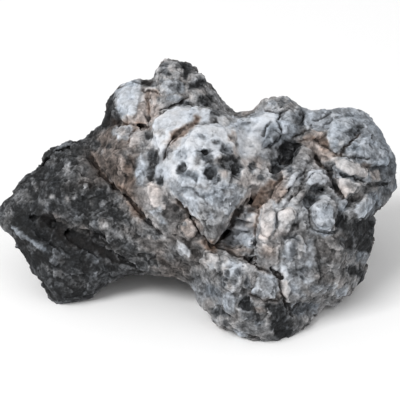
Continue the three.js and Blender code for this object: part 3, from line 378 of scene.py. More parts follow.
# Blotches: tone, column, row, half width and half height in squares, and degrees clockwise if turned
BLOTCHES = [
    # the arm
    (GREY, 67,169, 3,8), (ASH, 60,177, 5,3, 20), (GREY, 35,185, 2.4,7, -20), (COAL, 51,182, 7,8),
    (BLACK, 61,156, 6,5, -20), (BLACK, 45,169, 4,4), (COAL, 76,150, 6,3, 10), (ASH, 20,194, 9,4, -25),
    (GREY, 67,201, 3.4,6), (GREY, 44,203, 6,2.6, 25), (COAL, 82,204, 9,11, 20), (GREY, 91,203, 3,3),
    (CREAM, 120,203, 2.2,6, -25), (COAL, 110,213, 9,4, 30), (DUSK, 86,178, 10,5, 25), (COAL, 40,170, 5,5),
    (ASH, 50,164, 4,3), (GREY, 78,158, 3,3), (ASH, 101,204, 3,3), (COAL, 58,193, 4,4),
    (GREY, 52,197, 3,2.4), (ASH, 30,201, 4,2.4), (BLACK, 31,188, 2.6,9, -20), (BLACK, 84,208, 5,5),
    (GREY, 75,196, 2.4,4), (ASH, 84,166, 6,3, 30), (DUSK, 75,224, 16,4, 24), (GREY, 104,225, 5,4),
    (COAL, 98,232, 3,3), (BLACK, 82,254, 3,7), (BLACK, 108,267, 7,3, 10), (ASH, 60,258, 7,3, 25),
    (ASH, 58,274, 9,4, 15), (COAL, 72,268, 5,3), (COAL, 86,277, 8,4, -25), (COAL, 66,293, 10,4),
    (ASH, 47,268, 3,6, -30), (ASH, 72,248, 5,2.4, 20), (COAL, 72,219, 10,4, 25), (COAL, 103,216, 7,4, 20),
    (BLACK, 48,260, 8,5, 35), (BLACK, 55,244, 8,8), (BLACK, 64,288, 10,5), (PALE, 68,199, 4,4),
    (BLACK, 66,291, 9,5), (BLACK, 50,234, 8,5, 30), (BLACK, 54,250, 9,6, 30), (BLACK, 42,262, 8,4, 40),
    (COAL, 56,280, 8,4), (COAL, 86,246, 6,4, 20), (COAL, 118,214, 13,4, 25), (COAL, 118,200, 5,6, 40),
    (COAL, 72,214, 8,4, 20), (COAL, 104,214, 8,4, 20), (COAL, 90,247, 6,5, 20), (BLACK, 56,228, 8,4, 30),
    # the belly
    (COAL, 152,232, 9,4, 30), (DUSK, 166,244, 8,5, 30), (COAL, 150,262, 10,4, 10), (DUSK, 172,226, 4,9),
    (DUSK, 175,254, 6,6), (UMBER, 135,213, 3,10, -40), (PALE, 139,192, 4,4), (CLAY, 174,147, 9,3, -50),
    (ASH, 150,228, 6,2.6, 35), (COAL, 140,234, 6,3, 30), (GREY, 163,239, 5,2.4, 40), (COAL, 156,238, 4,3),
    (ASH, 140,246, 6,2.6, 20), (COAL, 150,254, 7,2.4, 10), (COAL, 128,222, 5,3, 40), (GREY, 136,221, 3,2.4),
    (ASH, 168,256, 5,3, 20), (PALE, 156,222, 4,7), (DUSK, 174,246, 5,10, 30), (ASH, 169,200, 7,5),
    (DUSK, 168,232, 8,4, 30), (DUSK, 197,233, 3,6, -30), (UMBER, 137,213, 6,8, -35),
    # the shoulder
    (UMBER, 118,152, 6,5), (UMBER, 136,150, 5,5), (DUSK, 127,152, 12,4), (DUSK, 150,134, 5,4),
    # (GREY, 115,104) and (COAL, 114,104) are painted shade on the knob's left edge
    (GREY, 115,104, 3,8), (ASH, 147,146, 6,5), (UMBER, 149,128, 5,3), (ASH, 112,110, 2,7),
    (COAL, 112,146, 5,2.4, -20), (CREAM, 122,132, 6,4), (ASH, 100,150, 5,3, 30), (COAL, 94,146, 4,5),
    (CLAY, 122,162, 5,3, 50), (DUSK, 140,150, 5,4), (UMBER, 120,145, 8,5), (COAL, 128,160, 2,6, -20),
    (COAL, 114,104, 2.4,8), (SLATE, 168,152, 8,4, -45), (MIST, 184,153, 8,4, -30),
    # the peak
    (STEEL, 183,103, 7,4, 20), (FROST, 231,120, 5,4), (COAL, 164,66, 5,2.6, -10), (COAL, 166,73, 5,2.4),
    (COAL, 185,66, 6,6), (GREY, 204,76, 4,5), (PALE, 201,95, 5,4), (GREY, 155,78, 4,6),
    (PALE, 192,77, 5,2.4, -12), (PALE, 171,68, 4,4), (STEEL, 163,82, 3,3), (STEEL, 175,87, 5,3),
    (FROST, 170,82, 4,2.6), (COAL, 159,100, 2.4,3), (SLATE, 172,99, 6,3, -20), (COAL, 205,100, 8,4, -10),
    (COAL, 215,113, 5,3, 20), (PALE, 162,92, 4,2.4, -30),
    # the white lump and block
    (ASH, 215,143, 4,1.6, -10), (MIST, 200,138, 8,2, 10), (SLATE, 186,158, 3,4), (SLATE, 180,189, 9,4, 10),
    (SLATE, 206,196, 5,3, 30), (MIST, 196,206, 4,8, -30), (ASH, 228,192, 6,3, 10), (CLAY, 236,150, 3,8),
    (PALE, 244,178, 6,5), (ASH, 214,226, 8,6, 20), (SLATE, 210,216, 4,3), (GREY, 240,190, 4,5),
    (WHITE, 172,119, 8,4, -20), (PALE, 162,134, 5,3), (MIST, 192,114, 3,4), (SLATE, 190,176, 9,4),
    (UMBER, 199,224, 3,8, -30), (COAL, 226,164, 6,5), (CLAY, 223,175, 4,5, -30), (ASH, 198,160, 3,6),
    (PALE, 170,143, 4,5), (WHITE, 245,150, 7,9), (WHITE, 243,132, 6,8), (WHITE, 262,133, 6,6, 30),
    (FROST, 266,156, 9,4), (GREY, 299,140, 5,4), (ASH, 214,120, 5,3, 30), (CLAY, 232,137, 4,6),
    # (ASH, 217,213) and (ASH, 204,213) are painted shade on the white block's lower faces
    (ASH, 217,213, 6,5), (ASH, 204,213, 4,10, -15), (BLACK, 237,216, 12,1.8, 125),
    (SLATE, 184,200, 8,4, 40), (GREY, 200,186, 10,3, 10),
    # the right side
    (CREAM, 254,182, 8,5), (UMBER, 330,152, 5,3, 20), (FROST, 360,152, 6,3), (COAL, 283,162, 5,8),
    (GREY, 268,156, 6,5), (ASH, 251,168, 3,4), (CLAY, 258,164, 4,6), (MIST, 272,104, 4,3),
    (COAL, 280,104, 4,2.4, 20), (SLATE, 290,102, 4,3), (CLAY, 322,133, 6,3), (SLATE, 352,116, 6,3),
    (FROST, 340,126, 6,6), (MIST, 336,142, 4,6, 30), (MIST, 366,128, 3,5, -20), (FROST, 364,146, 6,3, 20),
    (SLATE, 354,148, 4,3), (MIST, 379,156, 5,4), (CLAY, 326,160, 5,2.4, 30), (UMBER, 366,166, 5,3),
    # (STEEL, 316,189) is painted shade under the ledges
    (STEEL, 386,176, 7,6), (STEEL, 316,189, 9,2.4, 8), (SLATE, 300,182, 5,2, -40),
    (UMBER, 330,168, 3,6, -30), (PALE, 293,108, 5,7), (FROST, 319,126, 5,5), (ASH, 330,148, 4,6),
    (STEEL, 386,186, 8,12), (UMBER, 279,189, 5,9, 25), (PALE, 297,192, 5,7, 20), (PALE, 363,196, 4,8, 20),
    (WHITE, 250,140, 6,7), (PALE, 226,121, 6,4), (ASH, 277,214, 3,8), (PALE, 281,231, 6,5),
    (STEEL, 330,166, 7,4, 20), (STEEL, 342,150, 5,4), (FROST, 296,183, 6,5, -40), (FROST, 390,152, 4,6),
    (COAL, 243,214, 3,7), (STEEL, 250,211, 5,3), (PALE, 279,246, 6,6), (ASH, 344,262, 6,6),
    (SLATE, 374,198, 6,6), (MIST, 294,116, 4,5),
    # the rubble
    (WHITE, 308,246, 3,7), (FROST, 320,231, 13,5), (DUSK, 340,250, 5,10), (PALE, 338,283, 8,5),
    (PALE, 353,262, 5,8), (WHITE, 237,237, 5,5), (FROST, 287,248, 3,6), (COAL, 296,272, 3,6),
    (FROST, 310,264, 6,3), (FROST, 300,260, 3,3), (FROST, 308,280, 5,4), (STEEL, 302,270, 3,3),
    (COAL, 318,268, 2.4,4), (SLATE, 344,240, 4,2.4), (GREY, 296,296, 4,3), (MIST, 302,296, 3,2.4),
    (MIST, 342,291, 6,2.6, -20), (COAL, 352,270, 7,4, 20), (SLATE, 360,256, 4,5), (UMBER, 268,252, 6,6, 20),
    (GREY, 303,228, 4,3), (SLATE, 322,226, 5,2.4), (MIST, 318,210, 5,4), (GREY, 298,190, 5,6),
    (ASH, 319,262, 4,4), (MIST, 328,233, 7,3), (GREY, 361,187, 7,7), (STEEL, 294,249, 4,8),
    (SLATE, 335,148, 4,6), (ASH, 350,186, 6,3, 20), (COAL, 284,168, 3,5, 20), (CLAY, 256,195, 7,9),
    (GREY, 296,232, 8,4), (GREY, 312,238, 5,4), (ASH, 344,252, 5,6), (FROST, 310,249, 6,10),
    (COAL, 344,247, 6,5), (MIST, 322,288, 14,4, -10), (MIST, 295,289, 6,5),
    # the foot
    (ASH, 216,278, 6,6), (ASH, 248,262, 6,5, 20), (GREY, 280,278, 4,6), (PALE, 247,312, 4,5),
    (PALE, 232,326, 6,4), (ASH, 264,262, 6,4, 20), (ASH, 204,274, 5,8), (STEEL, 235,300, 3,3),
    (COAL, 216,320, 4,2.4), (COAL, 257,294, 6,3, 15), (UMBER, 246,250, 9,3, 10), (PALE, 212,301, 6,8),
    (PALE, 221,322, 6,6), (MIST, 241,333, 8,4), (STEEL, 235,279, 4,8), (COAL, 220,268, 2.4,6),
    (STEEL, 225,278, 5,2.6), (STEEL, 240,272, 5,3, 20), (FROST, 212,266, 4,4), (FROST, 231,264, 6,4),
    (UMBER, 232,250, 9,3, 30), (SLATE, 212,292, 8,6), (ASH, 152,168, 1.6,8), (ASH, 156,154, 1.6,5),
    (STEEL, 248,286, 3,4), (MIST, 228,300, 5,5), (STEEL, 245,305, 6,10), (PALE, 257,303, 4,3),
    (ASH, 262,316, 7,5), (UMBER, 260,310, 6,3), (BLACK, 281,328, 7,9), (MIST, 296,313, 4,3),
    (PALE, 304,318, 4,3), (COAL, 300,306, 5,2), (ASH, 308,314, 8,4, -30), (ASH, 242,328, 6,3, 10),
    (COAL, 214,310, 3,3), (ASH, 270,332, 8,2.4), (COAL, 226,322, 4,2.4, 20), (WHITE, 283,268, 2.4,6),
]


def hashed(x, y, z, salt):
    """Numbers spread evenly from 0 to 1, one for each whole-number place."""
    mixed = x.astype(np.int64).astype(np.uint32) * np.uint32(73856093)
    mixed ^= y.astype(np.int64).astype(np.uint32) * np.uint32(19349663)
    mixed ^= z.astype(np.int64).astype(np.uint32) * np.uint32(83492791)
    mixed ^= np.uint32((salt * 2654435761) % 2**32)
    for shift, factor in ((15, 2246822519), (13, 3266489917), (16, 668265263)):
        mixed = (mixed ^ (mixed >> np.uint32(shift))) * np.uint32(factor)
    return (mixed ^ (mixed >> np.uint32(15))).astype(np.float64) / 2**32


def noise(points, size, salt):
    """Smooth noise of about -1 to 1, with lumps of that size in metres."""
    q = points / size + salt * 7.13
    low = np.floor(q)
    f = q - low
    ease = f * f * f * (f * (f * 6 - 15) + 10)
    total = np.zeros(len(points))
    for corner in np.ndindex(2, 2, 2):
        c = np.array(corner)
        x, y, z = (low + c).T
        pull = sum((2 * hashed(x, y, z, salt * 8 + k) - 1) * (f[:, k] - c[k]) for k in range(3))
        share = np.prod(np.where(c == 1, ease, 1 - ease), axis=1)
        total += pull * share
    return total * 1.6


def rough_noise(points, size, salt, octaves=3):
    """Noise with finer noise upon it, each octave half the size and height of the last."""
    return sum(noise(points, size / 2**k, salt + 31 * k) / 2**k for k in range(octaves))


def chips(points, size, salt):
    """Broken stone: space shared out among scattered points, one to a cell of that size.

    Gives each point the height of its chip's tilted face, a tone of the chip's own from -1 to 1,
    and how near it is to the next chip, in metres.
    """
    q = points / size + salt * 3.7
    low = np.floor(q)
    nearest = np.full(len(points), 9.0)
    second = nearest.copy()
    height = np.zeros(len(points))
    tone = np.zeros(len(points))
    for corner in np.ndindex(3, 3, 3):
        cell = (low + np.array(corner) - 1).T
        middle = np.stack([cell[k] + hashed(*cell, salt + k) for k in range(3)], 1)
        offset = q - middle
        distance = np.linalg.norm(offset, axis=1)
        closer = distance < nearest
        second = np.where(closer, nearest, np.minimum(second, distance))
        nearest = np.where(closer, distance, nearest)
        face = sum((2 * hashed(*cell, salt + 3 + k) - 1) * offset[:, k] for k in range(3))
        height = np.where(closer, face + hashed(*cell, salt + 6) - 0.5, height)
        tone = np.where(closer, 2 * hashed(*cell, salt + 7) - 1, tone)
    return height, tone, (second - nearest) * size


def bent_chips(points, size, bend, bend_length, salt, bend_salt):
    """Chips of that size in mm, with bent joints."""
    bent = points + bend * MM * rough_noise(points, bend_length * MM, bend_salt)[:, None]
    return chips(bent, size * MM, salt)


def eased(values):
    """The values held between 0 and 1, with soft ends."""
    t = np.clip(values, 0, 1)
    return t * t * (3 - 2 * t)


def edged(depth, outside, inside):
    """Goes from 0, that far outside an edge, to 1, that far inside it."""
    return eased((depth + outside) / (outside + inside))


def bell(distance, width):
    """1 at no distance, and nearly 0 at twice the width."""
    return np.exp(-(distance / width) ** 2)


def read(items, name, width, kind=float):
    """What each of a mesh's items says under that name, in rows."""
    values = np.empty(len(items) * width, kind)
    items.foreach_get(name, values)
    return values.reshape(-1, width)


def neighbour_sum(a, b, values):
    """The sum of the values of each point's neighbours, where edges run from a to b."""
    return np.bincount(a, values[b], len(values)) + np.bincount(b, values[a], len(values))


class Skin:
    """The stone's surface as a mesh, with its points and edges at hand as arrays."""

    def __init__(self, mesh):
        self.mesh = mesh
        self.points = read(mesh.vertices, "co", 3)
        self.edges = read(mesh.edges, "vertices", 2, np.int32)
        self.valence = np.bincount(self.edges.ravel(), minlength=len(self.points))

    def write(self):
        self.mesh.vertices.foreach_set("co", self.points.ravel())
        self.mesh.update()

    def spread(self, values, rounds):
        """The values, each moved half way to the mean of its neighbours, round after round."""
        a, b = self.edges.T
        columns = values.reshape(len(values), -1).T.copy()
        for _ in range(rounds):
            for i, column in enumerate(columns):
                columns[i] = column + 0.5 * (neighbour_sum(a, b, column) / self.valence - column)
        return columns.T.reshape(values.shape)

    def broad_normals(self, rounds):
        self.write()
        out = self.spread(read(self.mesh.vertices, "normal", 3), rounds)
        return out / np.linalg.norm(out, axis=1)[:, None]

    def push(self, heights, rounds):
        """Moves the points out by heights in mm, along normals spread that many rounds."""
        self.points = self.points + self.broad_normals(rounds) * (heights * MM)[:, None]

    def sunk(self, rounds, out):
        """How far each point lies below the surface around it, in mm."""
        return ((self.spread(self.points, rounds) - self.points) * out).sum(1) / MM

    def tree(self):
        self.write()
        faces = [tuple(face.vertices) for face in self.mesh.polygons]
        return BVHTree.FromPolygons(self.points.tolist(), faces)


def modified(piece):
    """The piece's mesh as its modifiers leave it."""
    graph = bpy.context.evaluated_depsgraph_get()
    return bpy.data.meshes.new_from_object(piece.evaluated_get(graph))


def placed(name, data):
    """A new object of the scene."""
    made = bpy.data.objects.new(name, data)
    bpy.context.scene.collection.objects.link(made)
    return made


def remeshed(mesh, voxel):
    """The mesh made again of even squares of that size."""
    piece = placed("remeshed", mesh)
    even = piece.modifiers.new("even", "REMESH")
    even.mode = "VOXEL"
    even.voxel_size = voxel
    made = modified(piece)
    bpy.data.objects.remove(piece)
    return made


def lighten(piece, kept):
    """Fewer triangles, the most of them where the stone is seen from the front."""
    group = piece.vertex_groups.new(name="spare")
    steps = (MOST_SPARE * (1 - kept) * SPARE_STEPS).astype(int)
    for step in range(steps.max() + 1):
        chosen = np.flatnonzero(steps == step)
        group.add(chosen.tolist(), (step + 0.5) / SPARE_STEPS, "REPLACE")
    count = sum(len(polygon.vertices) - 2 for polygon in piece.data.polygons)
    fewer = piece.modifiers.new("fewer", "DECIMATE")
    fewer.ratio = min(1, MOST_TRIANGLES / count)
    fewer.vertex_group = "spare"
    fewer.vertex_group_factor = 2
    made = modified(piece)
    piece.modifiers.remove(fewer)
    piece.data = made


def grid_places(points):
    """Column and row of each point, as the eye sees it."""
    from_middle = points - GRID_MIDDLE
    size = SQUARE * (1 - (from_middle @ TO_EYE) / EYE_DISTANCE)
    return MIDDLE + (from_middle @ RIGHT) / size, MIDDLE - (from_middle @ UP) / size


def pairs(numbers):
    """The places written as a row of numbers: column, row, column, row."""
    return list(zip(numbers[::2], numbers[1::2]))


def lifted(tree, places):
    """The surface points that show at places of the grid."""
    found = []
    for column, row in places:
        target = GRID_MIDDLE + RIGHT * (column - MIDDLE) * SQUARE + UP * (MIDDLE - row) * SQUARE
        hit = tree.ray_cast(Vector(EYE), Vector(target - EYE).normalized())[0]
        if hit is not None:
            found.append(np.array(hit))
    return found


def in_view(skin, tree):
    """How far each point faces the eye with nothing before it, from 0 to 1."""
    out = skin.broad_normals(3)
    sight = EYE - skin.points
    sight /= np.linalg.norm(sight, axis=1)[:, None]
    facing = np.clip(((out * sight).sum(1) - 0.05) / 0.3, 0, 1)
    starts = skin.points + out * 0.8 * MM
    for i in np.flatnonzero(facing > 0):
        if tree.ray_cast(Vector(starts[i]), Vector(sight[i]))[0] is not None:
            facing[i] = 0
    return skin.spread(facing, 4)


def distance_to_line(column, row, line):
    """How far each place is from a line of straight stretches, in squares."""
    least = np.full(len(column), 1e9)
    for (c0, r0), (c1, r1) in zip(line, line[1:]):
        dc, dr = c1 - c0, r1 - r0
        along = np.clip(((column - c0) * dc + (row - r0) * dr) / (dc * dc + dr * dr), 0, 1)
        least = np.minimum(least, np.hypot(column - c0 - along * dc, row - r0 - along * dr))
    return least


def depth_inside(column, row, outline):
    """How far each place is inside a closed outline, in squares, less than 0 outside."""
    within = np.zeros(len(column), bool)
    for (c0, r0), (c1, r1) in zip(outline, outline[1:] + outline[:1]):
        if r0 != r1:
            crossing = c0 + (row - r0) * (c1 - c0) / (r1 - r0)
            within ^= ((r0 > row) != (r1 > row)) & (column < crossing)
    away = distance_to_line(column, row, outline + outline[:1])
    return np.where(within, away, -away)


def to_fill(skin, tree):
    """How far each point lies in one of the cuts that earth takes up, from 0 to 1."""
    filled = np.zeros(len(skin.points))
    for column, row, reach in FILLS:
        for place in lifted(tree, [(column, row)]):
            near = np.exp(-(((skin.points - place) ** 2).sum(1) / (reach * MM) ** 2) ** 2)
            filled = np.maximum(filled, near)
    return filled


def film(skin, where, pace):
    """Where some of the points come to rest when each is drawn to its neighbours among them."""
    size = len(where)
    number = np.full(len(skin.points), -1)
    number[where] = np.arange(size)
    edges = number[skin.edges]
    a, b = edges[(edges >= 0).all(1)].T
    valence = np.maximum(neighbour_sum(a, b, np.ones(size)), 1)
    axes = skin.points[where].T.copy()
    for _ in range(FILM_ROUNDS):
        for axis in axes:
            axis += pace * (neighbour_sum(a, b, axis) / valence - axis)
    return axes.T


def fill_cuts(skin, tree):
    """Raises the floors of the deepest cuts to where their rims would draw a film across them."""
    filled = to_fill(skin, tree)
    where = np.flatnonzero(filled > LEAST_FILL)
    move = film(skin, where, FILM_PACE * filled[where]) - skin.points[where]
    rise = (move * skin.broad_normals(8)[where]).sum(1)
    skin.points[where] += move * eased(rise / MM + 0.5)[:, None]
    skin.points += filled[:, None] * (skin.spread(skin.points, 4) - skin.points)


def loose(middle, swing, least, most, unevenness):
    """A loose tone's part in the sum of tones."""
    return LOOSE * np.clip(middle + swing * unevenness, least, most)


def broad_tones(points, tree):
    """How light, warm and broken the stone is at each point, before any mark."""
    light = loose(*LOOSE_LIGHT, rough_noise(points, 30 * MM, 60))
    warm = loose(*LOOSE_WARM, rough_noise(points, 26 * MM, 61))
    broken = np.full(len(points), LOOSE * LOOSE_BROKEN)
    weight = np.full(len(points), LOOSE)
    for tone, reach, places in PATCHES:
        for place in lifted(tree, pairs(places)):
            near = np.exp(-((points - place) ** 2).sum(1) / (reach * MM) ** 2)
            for values, value in zip((light, warm, broken), tone):
                values += near * value
            weight += near
    return light / weight, warm / weight, broken / weight


class Marks:
    """What the marks give the skin's points: tones, relief, dark lines and earth."""

    def __init__(self, skin, tree):
        points = skin.points
        self.view = in_view(skin, tree)
        self.seen = np.clip(3 * self.view, 0, 1)
        self.hidden = skin.spread(1 - self.seen, 12)
        self.light, self.warm, self.broken = broad_tones(points, tree)
        # the marks' edges wander, so that no line is ruled
        column, row = grid_places(points)
        self.column = column + WANDER * rough_noise(points, 4.5 * MM, 5)
        self.row = row + WANDER * rough_noise(points, 4.5 * MM, 6)
        self.wobble = rough_noise(points, 2.4 * MM, 8, 2)
        self.patchy = np.clip(0.6 + 0.6 * rough_noise(points, 5 * MM, 7), 0, 1)
        self.relief = np.zeros(len(points))  # in mm
        self.dark = np.zeros(len(points))
        self.earth = np.zeros(len(points))

    def near(self, places, margin=8):
        """The points that a mark at those places can reach, and their columns and rows."""
        columns, rows = zip(*places)
        close = (self.column > min(columns) - margin) & (self.column < max(columns) + margin)
        close &= (self.row > min(rows) - margin) & (self.row < max(rows) + margin)
        where = np.flatnonzero(close & (self.view > 0))
        return where, self.column[where], self.row[where]

    def tone(self, tone, where, share):
        """Moves those points towards a tone."""
        for values, value in zip((self.light, self.warm, self.broken), tone):
            values[where] += share * self.seen[where] * (value - values[where])

    def soil(self, where, share):
        """Lays earth on those points, in patches."""
        laid = share * self.view[where] * self.patchy[where]
        self.earth[where] = np.maximum(self.earth[where], laid)

    def darken(self, share, where=slice(None)):
        self.dark[where] = np.maximum(self.dark[where], share)

    def add_face(self, index, tone, height, outline):
        """A face of broken stone, tilted its own way."""
        outline = pairs(outline)
        where, column, row = self.near(outline)
        depth = depth_inside(column, row, outline)
        self.tone(tone, where, FACE_SHARE * edged(depth, 1.5, 1.5))
        middle = np.mean(outline, axis=0)
        turn = FACE_TURN * index
        across = (column - middle[0]) * math.cos(turn) + (row - middle[1]) * math.sin(turn)
        face = height * (FACE_MEAN + FACE_TILT * across) * edged(depth, 0.5, 2)
        self.relief[where] += face * self.view[where]

    def add_recess(self, tone, deep, earth, outline):
        outline = pairs(outline)
        where, column, row = self.near(outline)
        depth = depth_inside(column, row, outline)
        self.tone(tone, where, RECESS_SHARE * edged(depth, 2.5, 1.5))
        self.relief[where] -= RECESS_CUT * deep * edged(depth, 1, 3) * self.view[where]
        self.soil(where, earth * edged(depth, 3, 2))

    def add_crevice(self, wide, deep, earth, line):
        line = pairs(line)
        where, column, row = self.near(line)
        away = distance_to_line(column, row, line)
        cut = np.clip(1 - away / (wide / 2 + 0.5), 0, 1) ** 0.8 * self.view[where]
        self.relief[where] -= CREVICE_CUT * deep * cut
        self.darken(cut, where)
        self.soil(where, earth * bell(away, wide * 1.1))

    def add_pit(self, c, r, half_width, half_height, deep):
        where, column, row = self.near([(c, r)], 14)
        away = np.hypot((column - c) / half_width, (row - r) / half_height)
        away += 0.3 * self.wobble[where]
        self.relief[where] -= PIT_CUT * deep * (eased(1.3 - away) * self.view[where])
        self.tone(STEEL, where, min(0.9, 0.3 + 0.45 * deep) * eased((1.35 - away) / 0.6))

    def add_blotch(self, tone, c, r, half_width, half_height, degrees=0):
        where, column, row = self.near([(c, r)], 14)
        cosine, sine = math.cos(math.radians(degrees)), math.sin(math.radians(degrees))
        dc, dr = column - c, row - r
        along, across = dc * cosine + dr * sine, dr * cosine - dc * sine
        away = np.hypot(along / half_width, across / half_height)
        away += 0.4 * self.wobble[where]
        self.tone(tone, where, BLOTCH_SHARE * eased(1.5 - away))

    def add_all(self):
        for index, face in enumerate(FACES.values()):
            self.add_face(index, *face)
        for recess in RECESSES.values():
            self.add_recess(*recess)
        for crevice in CREVICES.values():
            self.add_crevice(*crevice)
        for pit in PITS:
            self.add_pit(*pit)
        for blotch in BLOTCHES:
            self.add_blotch(*blotch)


def block_hidden_sides(skin, marks):
    """Cracks the sides that no mark reaches into large blocks."""
    slab, tone, gap = bent_chips(skin.points, *SLABS)
    joint = bell(gap, 1.1 * MM) * marks.hidden
    marks.darken(SLAB_JOINT_DARK * joint)
    soiled = SLAB_EARTH * bell(gap, 2.5 * MM) * marks.patchy * marks.hidden
    marks.earth = np.maximum(marks.earth, soiled)
    marks.light += SLAB_TONE * tone * marks.hidden
    skin.push(SLAB_HEIGHT * np.minimum(slab, 0) * marks.hidden - SLAB_JOINT * joint, 8)


def add_blocks(skin, marks):
    """Blocks all over, with joints and pocks where no mark reaches, and each block's own tone."""
    points = skin.points
    rough = marks.broken * (1 - 0.35 * marks.view)
    block, tone, gap = bent_chips(points, *BLOCKS)
    swell = SWELL * rough_noise(points, 9 * MM, 3)
    skin.push(BLOCK_HEIGHT * block * rough + swell + SWELL_MIDDLE, 8)
    joint = bell(gap, 0.7 * MM) * marks.hidden
    pocks = eased((rough_noise(points, 6 * MM, 17, 2) - 0.45) / 0.25) * marks.hidden
    marks.darken(BLOCK_JOINT_DARK * joint)
    marks.darken(POCK_DARK * pocks)
    marks.relief -= BLOCK_JOINT * joint
    marks.relief -= POCK_DEPTH * pocks
    return tone


def store(mesh, **tones):
    for name, values in tones.items():
        attribute = mesh.attributes.new(name, "FLOAT", "POINT")
        attribute.data.foreach_set("value", values.astype(np.float32))


def break_surface(skin, marks):
    """Works the marks and the broken stone into the skin, and stores the tones that go with them."""
    block_hidden_sides(skin, marks)
    block_tone = add_blocks(skin, marks)
    points = skin.points
    chip, chip_tone, _ = bent_chips(points, *CHIPS)
    grain, grain_tone, _ = bent_chips(points, *GRAINS)
    height = marks.relief + (CHIP_HEIGHT * chip + GRAIN_HEIGHT * grain) * marks.broken
    skin.push(height + ROUGHNESS * rough_noise(points, 3 * MM, 12, 2), 3)
    skin.points[:, 2] = np.maximum(skin.points[:, 2], 0)  # no lower than the ground
    # how sunk each point is, used below for painted shade
    hollow = skin.sunk(8, skin.broad_normals(2))
    deep_hollow = skin.sunk(60, skin.broad_normals(6))
    fissure = bell(rough_noise(points, 11 * MM, 18), FISSURE_WIDTH)
    fissure *= eased(2 * rough_noise(points, 13 * MM, 19) + 0.4)
    marks.darken(FISSURE_DARK * fissure * (0.3 + marks.broken))
    mottle = CLOUDS * rough_noise(points, 5 * MM, 14, 2) + BLOCK_TONE * block_tone
    mottle = mottle + CHIP_TONE * chip_tone + GRAIN_TONE * grain_tone
    shade = marks.light + mottle * (0.35 + marks.broken) * (1.3 - 0.4 * marks.light)
    shade -= LINE_DARK * marks.dark
    # painted shade: darker in the hollows and lighter on the rises
    shade -= PAINTED_HOLLOW_SHADE * np.clip(hollow, -0.5, 0.6) + PAINTED_DEEP_SHADE * np.clip(deep_hollow, -1, 1.2)
    store(
        skin.mesh,
        shade=np.clip(shade, DARKEST, 1),
        warm=marks.warm + WARM_CLOUDS * rough_noise(points, 8 * MM, 15),
        earth=marks.earth,
        broken=marks.broken,
    )


class Nodes:
    """A short way to write a material's nodes."""

    def __init__(self, material):
        material.use_nodes = True
        self.tree = material.node_tree
        self.shader = self.tree.nodes["Principled BSDF"]

    def add(self, kind, settings=None, **inputs):
        node = self.tree.nodes.new(kind)
        for key, value in (settings or {}).items():
            setattr(node, key, value)
        for key, value in inputs.items():
            self.set(node.inputs[key.replace("_", " ")], value)
        return node

    def set(self, socket, value):
        if isinstance(value, bpy.types.NodeSocket):
            self.tree.links.new(value, socket)
        else:
            socket.default_value = value

    def math(self, operation, *inputs, clamp=False):
        node = self.add("ShaderNodeMath", {"operation": operation, "use_clamp": clamp})
        for socket, value in zip(node.inputs, inputs):
            self.set(socket, value)
        return node.outputs[0]

    def attribute(self, name):
        return self.add("ShaderNodeAttribute", {"attribute_name": name}).outputs["Fac"]

    def noise(self, place, size, detail, roughness=0.5):
        inputs = {"Vector": place, "Scale": 1 / size, "Detail": detail, "Roughness": roughness}
        return self.add("ShaderNodeTexNoise", **inputs).outputs["Fac"]

    def mix(self, factor, a, b, blend="MIX"):
        node = self.add("ShaderNodeMix", {"data_type": "RGBA", "blend_type": blend})
        for number, value in ((0, factor), (6, a), (7, b)):
            self.set(node.inputs[number], value)
        return node.outputs[2]

    def ramp(self, value, stops):
        node = self.add("ShaderNodeValToRGB", Fac=value)
        elements = node.color_ramp.elements
        while len(elements) < len(stops):
            elements.new(0.5)
        for element, (place, color) in zip(elements, stops):
            element.position = place
            element.color = color
        return node.outputs["Color"]


def limestone():
    material = bpy.data.materials.new("limestone")
    n = Nodes(material)
    place = n.add("ShaderNodeTexCoord").outputs["Object"]
    fine = n.noise(place, 1.3 * MM, 3, 0.6)
    medium = n.noise(place, 4 * MM, 4, 0.6)
    grain = n.math("ADD", n.math("MULTIPLY", fine, 0.5), n.math("MULTIPLY", medium, 0.5))
    grain = n.math("MULTIPLY", n.math("SUBTRACT", grain, 0.5), n.math("ADD", n.attribute("broken"), 0.25))
    shade = n.math("ADD", n.attribute("shade"), n.math("MULTIPLY", grain, 1.1), clamp=True)
    color = n.ramp(shade, [(at, (level, level, 1.02 * level, 1)) for at, level in LEVELS])
    warm = n.math("MULTIPLY_ADD", n.attribute("warm"), 0.5, 0.5)
    tint = n.ramp(warm, [(0, COOL), (0.5, NEUTRAL), (1, CREAMY)])
    color = n.mix(1.0, color, tint, "MULTIPLY")
    patches = n.math("ADD", n.noise(place, 2.5 * MM, 2), 0.4)
    soil = n.math("MULTIPLY", n.attribute("earth"), patches, clamp=True)
    soiled = n.mix(0.35, n.mix(1.0, color, EARTH_STAIN, "MULTIPLY"), EARTH)
    n.set(n.shader.inputs["Base Color"], n.mix(soil, color, soiled))
    n.shader.inputs["Roughness"].default_value = 0.8
    n.shader.inputs["Specular IOR Level"].default_value = 0.22
    bump = n.add("ShaderNodeBump", Strength=0.6, Distance=0.5 * MM, Height=fine)
    n.set(n.shader.inputs["Normal"], bump.outputs["Normal"])
    return material


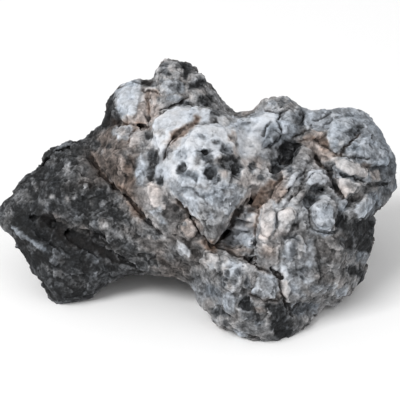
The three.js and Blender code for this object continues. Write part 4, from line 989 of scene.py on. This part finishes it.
def plain(name, color, roughness):
    material = bpy.data.materials.new(name)
    n = Nodes(material)
    n.shader.inputs["Base Color"].default_value = color
    n.shader.inputs["Roughness"].default_value = roughness
    return material


def add_stone():
    skin = Skin(remeshed(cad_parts["rock"].data, VOXEL))
    skin.points = skin.spread(skin.points, 2)
    fill_cuts(skin, skin.tree())
    marks = Marks(skin, skin.tree())
    marks.add_all()
    break_surface(skin, marks)
    skin.mesh.name = "rock_skin"
    skin.mesh.materials.clear()
    skin.mesh.materials.append(limestone())
    for polygon in skin.mesh.polygons:
        polygon.use_smooth = True
    stone = placed("rock_skin", skin.mesh)
    lighten(stone, marks.view)
    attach(stone, "root")
    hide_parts("rock")


def add_floor(half):
    mesh = bpy.data.meshes.new("floor")
    corners = [(-half, -half, 0), (half, -half, 0), (half, half, 0), (-half, half, 0)]
    mesh.from_pydata(corners, [], [(0, 1, 2, 3)])
    mesh.materials.append(plain("pale_floor", (0.96, 0.96, 0.96, 1), 0.9))
    floor = placed("floor", mesh)


def add_lamp(name, place, size, power):
    data = bpy.data.lights.new(name, "AREA")
    data.size = size
    data.energy = power
    holder = placed(name, data)
    holder.location = place
    sight = Vector(LAMP_TARGET) - holder.location
    holder.rotation_euler = sight.to_track_quat("-Z", "Y").to_euler()


def add_sky():
    world = bpy.data.worlds.new("studio")
    bpy.context.scene.world = world
    world.use_nodes = True
    inputs = world.node_tree.nodes["Background"].inputs
    inputs["Color"].default_value = (1, 1, 1, 1)
    inputs["Strength"].default_value = 0.62


def add_camera():
    data = bpy.data.cameras.new("eye")
    data.sensor_width = SENSOR
    data.lens = SENSOR * EYE_DISTANCE / (FRAME_SQUARES * SQUARE)
    eye = placed("eye", data)
    eye.location = EYE
    eye.rotation_euler = (-Vector(TO_EYE)).to_track_quat("-Z", "Y").to_euler()
    bpy.context.scene.camera = eye


add_stone()
add_floor(3.0)
add_sky()
add_lamp("key", (-1.45, -1.15, 2.2), 1.3, 54)
add_lamp("fill", (2.0, -1.5, 1.3), 2.0, 9)
add_camera()
bpy.context.scene.view_settings.view_transform = "Standard"
